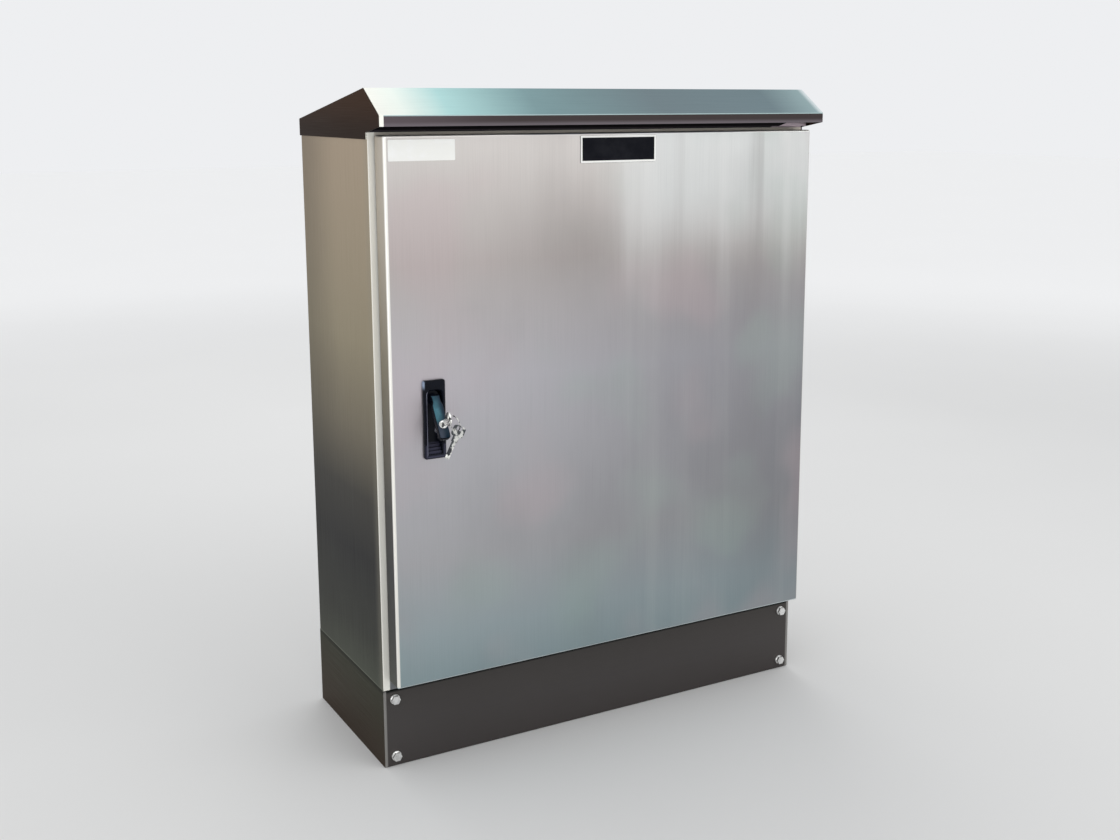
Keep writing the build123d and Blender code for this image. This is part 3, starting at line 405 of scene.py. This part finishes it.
def body_tones(steel):
    """Painted reflection and shade: beige high on the sides and dark low down, a pale flange in
    front with a painted highlight at its edge, painted shade in the gutter, and grey inside.
    """
    across, back, height = steel.along("X"), steel.along("Y"), steel.along("Z")
    base = painted_side_shading(steel)
    # Painted shade towards the back of the sides, painted reflection towards their front.
    base = steel.mix(base, tone(52, 50, 46), steel.fit(back, -0.02, BODY_BACK) * 0.34)
    base = steel.mix(base, tone(160, 156, 142), steel.fit(back, -0.125, BODY_FRONT) * 0.28)
    rear = steel.fit(steel.facing("Y"), 0.5, 0.8)
    base = steel.mix(base, tone(158, 156, 152), rear * steel.fit(height, 0.2, 0.6, 0.72, 0.5))
    inside = abs(across).below(BODY_HALF_WIDTH - SKIN) * back.below(BODY_BACK - SKIN)
    inside = inside * height.above(PLINTH_TOP + SKIN) * height.below(BODY_TOP - SKIN)
    base = steel.mix(base, tone(158, 158, 154), inside)

    # The front flange takes painted shade low down and painted reflection high up.
    flange = steel.faces_forward()
    flange = flange * back.below(BODY_FRONT + SKIN) * back.above(BODY_FRONT - 0.005)
    shaded = steel.ramp(
        height,
        [
            (0.15, tone(120, 122, 124)),
            (0.36, tone(140, 140, 140)),
            (0.58, tone(184, 182, 178)),
            (0.90, tone(216, 208, 196)),
        ],
    )
    base = steel.mix(base, shaded, flange)
    steel.set(Metallic=0.6 - flange * 0.5)
    # Painted highlight along the flange's outer edge.
    edge = steel.fit(across, -0.3875, -0.3895) * height.below(GUTTER_BOTTOM)
    base = steel.mix(base, tone(255, 253, 244), flange * edge)

    # The gutter below the hood's lip is painted in shade, with a painted highlight at its right
    # end.
    gutter = back.below(BODY_FRONT + 0.0002) * height.above(GUTTER_BOTTOM)
    trough = steel.mix(tone(62, 58, 62), tone(14, 11, 14), steel.fit(height, 0.9985, 0.9995))
    gutter_end_highlight = (across - (height - 0.998) * 3).above(0.337)
    trough = steel.mix(trough, tone(196, 180, 188), gutter_end_highlight)
    base = steel.mix(base, trough, gutter)
    # Painted highlight along the bottom edge of the sides.
    bottom_edge_highlight = height.below(PLINTH_TOP + 0.0018) * steel.faces_sideways()
    return steel.mix(base, tone(112, 116, 104), bottom_edge_highlight)


def hood_tones(steel):
    """Painted reflection, bright at the left end and fading to grey green on the front slope; a
    dark lip in painted shade with painted highlights; brown ends and a dark underside in painted
    shade.
    """
    height = steel.along("Z")
    across = steel.fit(steel.along("X"), -HOOD_HALF_LENGTH, HOOD_HALF_LENGTH, smooth=False)
    # Painted reflection along the front slope.
    slope = steel.ramp(
        across,
        [
            (0.0, tone(255, 255, 246)),
            (0.05, tone(246, 254, 246)),
            (0.14, tone(184, 224, 222)),
            (0.32, tone(138, 168, 171)),
            (0.6, tone(128, 144, 149)),
            (0.88, tone(130, 149, 155)),
            (0.985, tone(166, 190, 192)),
            (0.996, tone(232, 243, 244)),
        ],
    )
    # The lip in painted shade, with painted highlights along its low and high edges and at its left
    # end.
    lip = steel.mix(tone(92, 83, 87), tone(66, 59, 59), steel.fit(across, 0.0, 0.3))
    low = steel.fit(height, LIP_LOW_EDGE + 0.007, LIP_LOW_EDGE)
    lip = steel.mix(lip, tone(112, 105, 110), low * 0.85)
    lip = steel.mix(lip, tone(196, 222, 222), height.above(LIP_HIGH_EDGE) * 0.7)
    lip = steel.mix(lip, tone(250, 250, 240), across.below(0.009))
    front = steel.fit(steel.facing("Z"), 0.5, 0.3) * steel.faces_forward()
    rear_slope = steel.fit(steel.facing("Y"), -0.3, 0.0)
    base = steel.mix(slope, tone(150, 158, 158), rear_slope)
    base = steel.mix(base, lip, front)
    # The ends are painted brown as shade and reflection.
    brown = steel.mix(tone(52, 39, 31), tone(70, 49, 35), steel.fit(height, 0.99, 1.05))
    base = steel.mix(base, brown, steel.faces_sideways())
    # Painted shade on the faces that look down.
    under = steel.fit(steel.facing("Z"), -0.3, -0.6)
    return steel.mix(base, tone(10, 8, 10), under)


def plinth_tones(steel):
    """Brown grey, olive at the sides as painted reflection, painted shadow along the top below the
    door and the body, and a painted highlight on the bend at both ends of the front.
    """
    across, height = steel.along("X"), steel.along("Z")
    base = steel.ramp(
        height, [(0.0, tone(78, 74, 73)), (0.065, tone(80, 77, 76)), (0.13, tone(78, 75, 73))]
    )
    # Painted reflection: olive on the sides.
    olive = steel.ramp(height, [(0.0, tone(70, 58, 48)), (0.13, tone(64, 65, 53))])
    base = steel.mix(base, olive, steel.faces_sideways())
    front = steel.faces_forward()
    # Painted shadow along the front's top below the door and along the sides' top below the body.
    shadow_under_door, shadow_under_body = steel.fit(height, 0.1235, 0.1275), steel.fit(height, 0.121, 0.126)
    base = steel.mix(base, tone(30, 33, 33), shadow_under_door * front)
    base = steel.mix(base, tone(46, 46, 37), shadow_under_body * (1 - front))
    # Painted highlight on the bend at both ends of the front.
    bend = steel.fit(abs(across), 0.3945, 0.3965) * front
    return steel.mix(base, tone(150, 148, 145), bend * 0.9)


def plated_steel(name, colour, roughness=0.32, shade=0.72):
    """Zinc or nickel plated metal with a fine mottled bloom."""
    metal = Finish(name, Metallic=1.0)
    bloom = metal.noise((110, 110, 110), 4, 0.6)
    specks = metal.noise((900, 900, 900), 2)
    mottled = metal.mix(colour, times(colour, shade), metal.fit(bloom, 0.4, 0.7))
    metal.set(Base_Color=mottled)
    metal.set(Roughness=roughness + metal.fit(bloom, 0.35, 0.7, 0, 0.16) + specks * 0.06)
    metal.bump(specks, 0.00003)
    return metal


def moulded_plastic(
    name, colour, roughness, grain_depth=0.00004, gloss=0.5, haze=(1.25, 0.012), pole_pitch=None
):
    """Plastic with a fine spark-eroded grain, and a dark joint line at each pole_pitch."""
    plastic = Finish(name, Metallic=0.0, Specular_IOR_Level=gloss)
    cells = plastic.node(
        "ShaderNodeTexVoronoi", None, {"Vector": plastic.place(), "Scale": 1500.0}, "Distance"
    )
    cloudy = plastic.noise((35, 35, 35), 4, 0.6)
    paler = tuple(min(1, channel * haze[0] + haze[1]) for channel in colour)
    base = plastic.mix(colour, paler, plastic.fit(cloudy, 0.42, 0.72, 0, 0.5))
    if pole_pitch:
        to_joint = plastic.maths("PINGPONG", plastic.along("X"), pole_pitch / 2)
        joint = to_joint.below(0.00022) * plastic.facing("Y").below(-0.5)
        base = plastic.mix(base, tone(60, 60, 58), joint)
    plastic.set(Base_Color=base)
    plastic.set(Roughness=roughness + plastic.fit(cloudy, 0.35, 0.7, 0, 0.1))
    plastic.bump(cells, grain_depth)
    return plastic


def lever_tones(plastic, base, across, height):
    """Painted light on the lever: its upper face paler navy, a teal sheen on it, and a paler tip.
    """
    # Painted light on the face that looks forward and up.
    face = plastic.fit(plastic.facing("Y"), -0.6, -0.8) * plastic.fit(plastic.facing("Z"), 0.0, 0.3)
    base = plastic.mix(base, tone(20, 42, 58), face)
    sheen = plastic.fit(across, -0.3135, -0.3245) * plastic.fit(height, 0.562, 0.578) * face
    sheen = sheen * plastic.fit(height, 0.604, 0.588, 0.3, 1.0)
    mottled = plastic.fit(plastic.noise((150, 150, 90)), 0.35, 0.65, 0.65, 1.0)
    base = plastic.mix(base, tone(74, 124, 138), sheen * mottled)
    # Painted reflection on the tip.
    tip = plastic.fit(height, 0.572, 0.560) * plastic.fit(across, -0.316, -0.325) * face
    return plastic.mix(base, tone(70, 78, 92), tip * 0.8)


def dish_tones(plastic, base, across, height):
    """Light on the recess edge, on the upper left corner and on the grip steps low down."""
    sideways, forward = plastic.facing("X"), plastic.facing("Y")
    recess_edge = plastic.fit(sideways, 0.4, 0.6) * plastic.fit(forward, -0.4, -0.6)
    base = plastic.mix(base, tone(140, 142, 160), recess_edge * across.below(-0.3295))
    corner = plastic.fit(across, -0.3345, -0.3375) * plastic.fit(height, 0.612, 0.622)
    base = plastic.mix(base, tone(150, 166, 190), corner * plastic.fit(sideways, -0.2, -0.6))
    steps = plastic.fit(height, 0.530, 0.526) * plastic.fit(forward, -0.6, -0.9)
    return plastic.mix(base, tone(66, 66, 84), steps * 0.8)


def glossy_black(name, tones):
    """Satin black handle plastic, with the light on it from tones."""
    plastic = Finish(name, Metallic=0.0, Specular_IOR_Level=0.12)
    cells = plastic.noise((1500, 1500, 1500), 2)
    haze = plastic.fit(plastic.noise((60, 60, 60)), 0.4, 0.7)
    base = plastic.mix(tone(8, 11, 20), tone(14, 18, 28), haze)
    plastic.set(Base_Color=tones(plastic, base, plastic.along("X"), plastic.along("Z")))
    plastic.set(Roughness=0.24 + cells * 0.06)
    plastic.bump(cells, 0.00002, 0.3)
    return plastic


def key_blank(name, bow_height):
    """Nickelled key whose polished faces carry painted reflections, light and dark in turn, and are
    painted darker above bow_height as dark reflection.
    """
    metal = Finish(name, Metallic=0.7)
    # Painted reflections, light and dark in turn.
    mirrored = metal.noise((160, 160, 110), 2, 0.5)
    base = metal.mix(tone(52, 54, 58), tone(246, 246, 240), metal.fit(mirrored, 0.42, 0.56))
    # Painted dark reflection on the faces above bow_height.
    bow = metal.fit(metal.along("Z"), bow_height, bow_height + 0.003)
    bow = bow * metal.fit(abs(metal.facing("Y")), 0.5, 0.7)
    base = metal.mix(base, tone(70, 74, 76), bow * metal.fit(mirrored, 0.62, 0.5, 0.35, 1.0))
    scratches = metal.noise((1200, 300, 1200), 2)
    metal.set(Base_Color=base)
    metal.set(Roughness=0.2 + scratches * 0.12)
    metal.bump(scratches, 0.00003)
    return metal


def threaded_steel(name, axis, pitch):
    """Zinc-plated stud with the ridges of its thread across one axis."""
    metal = plated_steel(name, (0.62, 0.63, 0.60), 0.34)
    ridges = metal.maths("PINGPONG", metal.along(axis), pitch / 2) * (2 / pitch)
    metal.bump(ridges, 0.0004, 0.8)
    return metal


def rubber(name):
    """Matte black foam rubber with fine pores."""
    foam = Finish(name, Metallic=0.0)
    pores = foam.noise((700, 700, 700), 4, 0.7)
    dark, pale = (0.012, 0.012, 0.012), (0.045, 0.044, 0.042)
    foam.set(Base_Color=foam.mix(dark, pale, foam.fit(pores, 0.4, 0.75)))
    foam.set(Roughness=foam.fit(pores, 0.3, 0.7, 0.72, 0.92))
    foam.bump(pores, 0.0002)
    return foam


def bare_metal(name, colour, tarnish, scale, roughness):
    """Drawn copper or brass bar with tarnish and length-wise draw marks."""
    bar = Finish(name, Metallic=1.0)
    stains = bar.noise(scale, 5, 0.62)
    marks = bar.noise((6, 900, 900), 2)
    bar.set(Base_Color=bar.mix(colour, tarnish, bar.fit(stains, 0.45, 0.72, 0, 0.8)))
    bar.set(Roughness=roughness + bar.fit(stains, 0.4, 0.7, 0, 0.2) + marks * 0.08)
    bar.bump(marks, 0.00004)
    return bar


def painted_sheet(name, colour):
    """Powder-coated sheet with a soft orange-peel surface."""
    paint = Finish(name, Metallic=0.0)
    peel = paint.noise((260, 260, 260), 2)
    dust = paint.noise((8, 8, 5), 5, 0.6)
    paint.set(Base_Color=paint.mix(colour, times(colour, 0.9), paint.fit(dust, 0.45, 0.7)))
    paint.set(Roughness=0.42 + paint.fit(dust, 0.4, 0.7, 0, 0.12))
    paint.bump(peel, 0.0002, 0.4)
    return paint


def dress(finish, *nodes):
    """Gives a finish to CAD nodes."""
    for name in nodes:
        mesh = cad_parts[name].data
        mesh.materials.clear()
        mesh.materials.append(finish.material)


POLE_PITCH = 0.018
STUD_THREAD_PITCH = 0.00125
# Above this height the spare key's faces are painted darker as dark reflection.
SPARE_KEY_BOW = 0.5335
NO_DARK_BOW = 1.0  # above the whole key, so none of it is darkened

door_steel = brushed_steel("door steel", door_tones, "upright")
body_steel = brushed_steel("body steel", body_tones, "upright")
hood_steel = brushed_steel("hood steel", hood_tones, "level")
plinth_steel = brushed_steel("plinth steel", plinth_tones, "level", 0.6, 0.4)
bolt_steel = plated_steel("bolt steel", (0.86, 0.86, 0.85), 0.26)
zinc_steel = plated_steel("zinc steel", (0.60, 0.61, 0.58), 0.36, 0.86)
stud_steel = threaded_steel("stud steel", "Y", STUD_THREAD_PITCH)
seal_rubber = rubber("seal rubber")
switch_case = moulded_plastic("switch case", (0.035, 0.036, 0.04), 0.42)
breaker_case = moulded_plastic(
    "breaker case", (0.62, 0.63, 0.61), 0.4, haze=(1.15, 0.0), pole_pitch=POLE_PITCH
)
toggle_plastic = moulded_plastic("toggle plastic", (0.012, 0.012, 0.014), 0.3)
insulator_plastic = moulded_plastic("insulator plastic", (0.30, 0.035, 0.022), 0.45)
knob_plastic = moulded_plastic("knob plastic", (0.02, 0.02, 0.022), 0.5)
copper = bare_metal("copper", (0.80, 0.36, 0.20), (0.36, 0.15, 0.10), (14, 14, 30), 0.26)
brass = bare_metal("brass", (0.74, 0.54, 0.22), (0.38, 0.26, 0.12), (30, 14, 30), 0.28)
cover_paint = painted_sheet("cover paint", (0.56, 0.57, 0.57))
dish_plastic = glossy_black("handle plastic", dish_tones)
lever_plastic = glossy_black("lever plastic", lever_tones)
lock_chrome = plated_steel("lock chrome", (0.78, 0.78, 0.77), 0.12)
key_metal = key_blank("key metal", NO_DARK_BOW)
spare_metal = key_blank("spare key metal", SPARE_KEY_BOW)

breakers = [f"breaker_{number}" for number in range(1, 7)]
toggles = [f"breaker_toggle_{number}" for number in range(1, 7)]

dress(body_steel, "cabinet_shell")
dress(door_steel, "door_panel")
dress(hood_steel, "roof_hood")
dress(
    plinth_steel, "plinth_side_left", "plinth_side_right", "plinth_back", "plinth_front_cover"
)
dress(
    bolt_steel, "plinth_cover_bolts", "plinth_body_bolts", "hood_bolts", "gland_plate_screws",
    "mounting_nuts", "dead_front_posts", "hinge_body_leaves", "hinge_door_leaves", "hinge_pins",
    "lever_pin",
)
dress(
    zinc_steel, "gland_plate", "mounting_plate", "breaker_rail", "dish_clamp", "latch_cam",
    "rod_upper", "rod_lower", "rod_guides",
)
dress(stud_steel, "mounting_studs")
dress(seal_rubber, "door_seal", "gland_plate_seal")
dress(switch_case, "main_switch")
dress(breaker_case, *breakers)
dress(toggle_plastic, "main_switch_toggle", *toggles)
dress(copper, "busbar_l1", "busbar_l2", "busbar_l3")
dress(brass, "neutral_bar", "earth_bar")
dress(insulator_plastic, "busbar_supports", "bar_insulators")
dress(cover_paint, "dead_front")
dress(knob_plastic, "dead_front_screws")
dress(dish_plastic, "handle_dish", "handle_hub")
dress(lever_plastic, "lever")
dress(lock_chrome, "lock_barrel", "lock_plug")
dress(key_metal, "key", "key_ring")
dress(spare_metal, "spare_key")


# Mesh tools


def new_piece(name, shape, body, slot, *finishes):
    """Turns a bmesh into an object that rides on a body and takes its finishes in order."""
    mesh = bpy.data.meshes.new(name)
    shape.to_mesh(mesh)
    shape.free()
    for finish in finishes:
        mesh.materials.append(finish.material)
    piece = bpy.data.objects.new(name, mesh)
    bpy.context.scene.collection.objects.link(piece)
    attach(piece, body)


def corners_of(elements):
    """The vertices among some mesh elements."""
    return [element for element in elements if isinstance(element, bmesh.types.BMVert)]


def soften(shape, edges, offset, segments=2):
    """Rounds edges by an offset."""
    bmesh.ops.bevel(
        shape, geom=edges, offset=offset, segments=segments, profile=0.5, affect="EDGES",
        material=-1,
    )


def split(shape, faces, place, across):
    """Cuts faces along the plane through place that looks along across."""
    parts = [*faces]
    for face in faces:
        parts += [*face.edges, *face.verts]
    parts = list(dict.fromkeys(parts))
    bmesh.ops.bisect_plane(shape, geom=parts, plane_co=place, plane_no=across)


def raised(shape, faces, height):
    """Pushes faces out along Z and returns the faces at the far end."""
    grown = bmesh.ops.extrude_face_region(shape, geom=faces)["geom"]
    bmesh.ops.translate(shape, vec=(0, 0, height), verts=corners_of(grown))
    return [element for element in grown if isinstance(element, bmesh.types.BMFace)]


def turned_head(radius, height, steps, rim):
    """Round or many-sided head that stands on its origin, with a softened rim."""
    shape = bmesh.new()
    bmesh.ops.create_circle(shape, cap_ends=True, segments=steps, radius=radius)
    top = raised(shape, shape.faces[:], height)
    soften(shape, list(top[0].edges), rim)
    return shape


def slotted_head(radius, height, slot_half, slot_depth):
    """Cheese head with a slot across its top."""
    shape = turned_head(radius, height, 20, radius * 0.12)
    for side in (-1, 1):
        top = max(shape.faces, key=lambda face: (face.calc_center_median().z, face.calc_area()))
        split(shape, [top], (0, side * slot_half, 0), (0, 1, 0))
    tops = [face for face in shape.faces if face.calc_center_median().z > height - 1e-6]
    raised(shape, [min(tops, key=lambda face: abs(face.calc_center_median().y))], -slot_depth)
    return shape


def repeated(shape, frames):
    """Copies a small shape to each frame and drops the original."""
    original = shape.verts[:] + shape.edges[:] + shape.faces[:]
    for frame_matrix in frames:
        copy = bmesh.ops.duplicate(shape, geom=original)["geom"]
        bmesh.ops.transform(shape, matrix=frame_matrix, verts=corners_of(copy))
    bmesh.ops.delete(shape, geom=corners_of(original), context="VERTS")
    bmesh.ops.recalc_face_normals(shape, faces=shape.faces)
    return shape


TO_FRONT, TO_BACK = -1, 1


def standing(place, outwards, spin=0.0):
    """Frame at place whose Z looks to the front or to the back."""
    tilt = Matrix.Rotation(math.radians(-90 * outwards), 4, "X")
    return Matrix.Translation(place) @ tilt @ Matrix.Rotation(spin, 4, "Z")


# Bare plates on the door

PLATE_THICKNESS = 0.0009
PLATE_CORNER = 0.0016
FLUSH = 1e-6  # faces nearer to one another than this lie in one plane


def plate_blank(x_range, z_range):
    """Thin plate on the door with rounded corners and a softened front."""
    low = Vector((x_range[0], DOOR_FRONT - PLATE_THICKNESS, z_range[0]))
    high = Vector((x_range[1], DOOR_FRONT, z_range[1]))
    shape = bmesh.new()
    bmesh.ops.create_cube(shape, size=1)
    bmesh.ops.scale(shape, vec=high - low, verts=shape.verts)
    bmesh.ops.translate(shape, vec=(low + high) / 2, verts=shape.verts)
    upright = [e for e in shape.edges if abs(e.verts[0].co.y - e.verts[1].co.y) > FLUSH]
    soften(shape, upright, PLATE_CORNER, 5)
    front = min(shape.faces, key=lambda face: face.calc_center_median().y)
    soften(shape, list(front.edges), 0.0002)
    return shape


def colour_border(shape, x_range, z_range, border):
    """Cuts a border into the plate's face and gives it the second finish."""
    large = (face for face in shape.faces if face.calc_area() > 1e-4)
    face_y = min(face.calc_center_median().y for face in large)
    left, right = x_range[0] + border, x_range[1] - border
    bottom, top = z_range[0] + border, z_range[1] - border
    cuts = [((x, 0, 0), (1, 0, 0)) for x in (left, right)]
    cuts += [((0, 0, z), (0, 0, 1)) for z in (bottom, top)]
    for place, across in cuts:
        front = [f for f in shape.faces if abs(f.calc_center_median().y - face_y) < FLUSH]
        split(shape, front, place, across)
    for face in shape.faces:
        x, y, z = face.calc_center_median()
        within = left < x < right and bottom < z < top
        if abs(y - face_y) < FLUSH and not within:
            face.material_index = 1


def door_plate(name, x_range, z_range, border, slot, *finishes):
    """Bare plate on the door, with a border in its second finish."""
    shape = plate_blank(x_range, z_range)
    if border:
        colour_border(shape, x_range, z_range, border)
    bmesh.ops.recalc_face_normals(shape, faces=shape.faces)
    new_piece(name, shape, "door", slot, *finishes)


plate_white = moulded_plastic("plate white", (0.93, 0.93, 0.89), 0.45, 0.00001)
plate_black = moulded_plastic("plate black", tone(7, 9, 18), 0.4, 0.00001, 0.08)
door_plate("name_plate", (-0.383, -0.277), (0.955, 0.986), None, "breaker_case", plate_white)
door_plate(
    "rating_plate", (-0.0637, 0.0755), (0.9455, 0.988), 0.0033, "switch_case", plate_black,
    plate_white,
)


# Screws on the terminal bars

TERMINALS = 12
TERMINAL_PITCH = 0.016

screw_brass = plated_steel("screw brass", (0.74, 0.60, 0.32), 0.3)
for bar in ("neutral_bar", "earth_bar"):
    low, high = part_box(bar)
    middle = (low + high) / 2
    left = middle.x - TERMINAL_PITCH * (TERMINALS - 1) / 2
    frames = [
        standing(
            (left + TERMINAL_PITCH * index, low.y, middle.z), TO_FRONT, spin=0.7 + 1.9 * index
        )
        for index in range(TERMINALS)
    ]
    screws = repeated(slotted_head(0.0038, 0.0028, 0.0005, 0.0011), frames)
    new_piece(f"{bar}_screws", screws, "cabinet", "brass_bar", screw_brass)


# Screws and rivets behind the door

clamp_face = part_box("dish_clamp")[1].y
frames = [
    standing((LOCK_X + side * 0.018, clamp_face, height), TO_BACK, spin=side + height * 40)
    for side in (-1, 1)
    for height in (0.5055, 0.6185)
]
screws = repeated(slotted_head(0.0026, 0.0018, 0.0004, 0.0008), frames)
new_piece("clamp_screws", screws, "door", "fastener_steel", bolt_steel)

UPPER_GUIDE, LOWER_GUIDE = (-0.3331, 0.880), (-0.3069, 0.250)

rivet = bmesh.new()
bmesh.ops.create_uvsphere(rivet, u_segments=20, v_segments=12, radius=0.0028)
bmesh.ops.scale(rivet, vec=(1, 1, 0.5), verts=rivet.verts)
whole = rivet.verts[:] + rivet.edges[:] + rivet.faces[:]
cut = bmesh.ops.bisect_plane(
    rivet, geom=whole, plane_co=(0, 0, 0), plane_no=(0, 0, 1), clear_inner=True
)
rim = [element for element in cut["geom_cut"] if isinstance(element, bmesh.types.BMEdge)]
bmesh.ops.holes_fill(rivet, edges=rim)
frames = [
    standing((middle + side * 0.0138, clamp_face, height), TO_BACK)
    for middle, height in (UPPER_GUIDE, LOWER_GUIDE)
    for side in (-1, 1)
]
new_piece("guide_rivets", repeated(rivet, frames), "door", "fastener_steel", bolt_steel)


# Earth studs

WASHER_TEETH = 18
WASHER_THICKNESS = 0.0012
NUT_HEIGHT = 0.005


def earth_stud(name, frame_matrix, body):
    """Welded stud with a toothed washer and two nuts, for an earth conductor."""
    shape = turned_head(0.003, 0.0165, 24, 0.0005)
    washer = bmesh.ops.create_circle(
        shape, cap_ends=True, segments=2 * WASHER_TEETH, radius=0.0064
    )["verts"]
    bmesh.ops.scale(shape, vec=(0.87, 0.87, 1), verts=washer[::2])
    disc = [face for face in shape.faces if len(face.verts) == 2 * WASHER_TEETH]
    raised(shape, disc, WASHER_THICKNESS)
    for level in (WASHER_THICKNESS, WASHER_THICKNESS + NUT_HEIGHT + 0.0006):
        known = set(shape.verts)
        bmesh.ops.create_circle(shape, cap_ends=True, segments=6, radius=0.0058)
        base = [f for f in shape.faces if len(f.verts) == 6 and not known & set(f.verts)]
        top = raised(shape, base, NUT_HEIGHT)
        soften(shape, list(top[0].edges), 0.0005)
        nut = [corner for corner in shape.verts if corner not in known]
        bmesh.ops.translate(shape, vec=(0, 0, level), verts=nut)
    bmesh.ops.transform(shape, matrix=frame_matrix, verts=shape.verts)
    bmesh.ops.recalc_face_normals(shape, faces=shape.faces)
    new_piece(name, shape, body, "brass_bar", screw_brass)


plate_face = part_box("mounting_plate")[0].y
earth_stud("door_earth_stud", standing((0.330, clamp_face, 0.185), TO_BACK), "door")
earth_stud("plate_earth_stud", standing((0.290, plate_face, 0.215), TO_FRONT), "cabinet")


# On and off marks at the toggles

INK = 0.00006
RING_STEPS = 24


def switch_marks(name, places, size, rise, finish):
    """A bar above and a ring below each toggle, for on and off, printed on the moulded nose."""
    shape = bmesh.new()
    grid = bmesh.ops.create_grid(shape, x_segments=1, y_segments=1, size=size / 2)
    bar = grid["verts"]
    bmesh.ops.scale(shape, vec=(0.24, 1, 1), verts=bar)
    bmesh.ops.translate(shape, vec=(0, rise, 0), verts=bar)
    bmesh.ops.create_circle(shape, cap_ends=True, segments=RING_STEPS, radius=size / 2)
    disc = [face for face in shape.faces if len(face.verts) == RING_STEPS]
    bmesh.ops.inset_region(shape, faces=disc, thickness=size * 0.2)
    hole = [face for face in shape.faces if len(face.verts) == RING_STEPS]
    bmesh.ops.delete(shape, geom=hole, context="FACES")
    ring = [corner for corner in shape.verts if corner.co.y < size / 2 + FLUSH]
    bmesh.ops.translate(shape, vec=(0, -rise, 0), verts=ring)
    bmesh.ops.translate(shape, vec=(0, 0, INK), verts=shape.verts)
    shape = repeated(shape, [standing(place, TO_FRONT) for place in places])
    new_piece(name, shape, "cabinet", "toggle_plastic", finish)


mark_black = moulded_plastic("mark black", (0.02, 0.02, 0.02), 0.5)
mark_white = moulded_plastic("mark white", (0.85, 0.85, 0.83), 0.5)
nose_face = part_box("breaker_1")[0].y
breaker_boxes = [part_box(name) for name in breakers]
breaker_noses = [((low.x + high.x) / 2, nose_face, BREAKER_Z) for low, high in breaker_boxes]
switch_marks("breaker_marks", breaker_noses, 0.005, 0.0158, mark_black)
switch_marks("switch_marks", [(0, nose_face, MAIN_SWITCH_Z)], 0.008, 0.0235, mark_white)


# Studio


def floor():
    """Pale floor that keeps the shadow near the board and fades into the background far off."""
    shape = bmesh.new()
    bmesh.ops.create_grid(shape, x_segments=1, y_segments=1, size=20)
    mesh = bpy.data.meshes.new("floor")
    shape.to_mesh(mesh)
    shape.free()
    pale = Finish("floor", Roughness=0.9, Metallic=0.0, Emission_Strength=1.0)
    unevenness = pale.noise((1.2, 1.2, 1.2), 2)
    pale.set(Base_Color=pale.mix((0.76, 0.76, 0.75), (0.79, 0.79, 0.78), unevenness))
    distance = pale.node(
        "ShaderNodeVectorMath", {"operation": "LENGTH"}, {0: pale.place()}, "Value"
    )
    far = pale.fit(distance, 2.4, 6.0) * pale.seen()
    pale.set(Emission_Color=pale.mix((0.0, 0.0, 0.0), (0.262, 0.264, 0.270), far))
    mesh.materials.append(pale.material)
    ground = bpy.data.objects.new("floor", mesh)
    bpy.context.scene.collection.objects.link(ground)
    ground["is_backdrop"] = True


def surround():
    """Even pale light from all sides, a little brighter where it is seen or mirrored."""
    world = bpy.data.worlds.new("world")
    world.use_nodes = True
    bpy.context.scene.world = world
    nodes = Nodes(world.node_tree)
    background = world.node_tree.nodes["Background"]
    nodes.fill(background.inputs["Color"], (0.97, 0.98, 1.0))
    level = nodes.fit(nodes.seen(), 0, 1, 0.75, 0.88, smooth=False)
    nodes.fill(background.inputs["Strength"], level)


set_camera((-1.1168, -2.0398, 1.0390), azimuth=29.77, pitch=10.49, roll=0.06)
floor()
surround()
softbox("key", (1.6, -3.0, 2.6), aim=(0, 0, 0.6), size=3.2, power=32)
softbox("low left", (-1.9, -2.5, 0.74), aim=(-0.25, -0.2, 0.6), size=1.3, power=9)
softbox("rim", (0.4, 2.6, 3.0), aim=(0, 0, 0.8), size=2.8, power=30)

low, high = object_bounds()
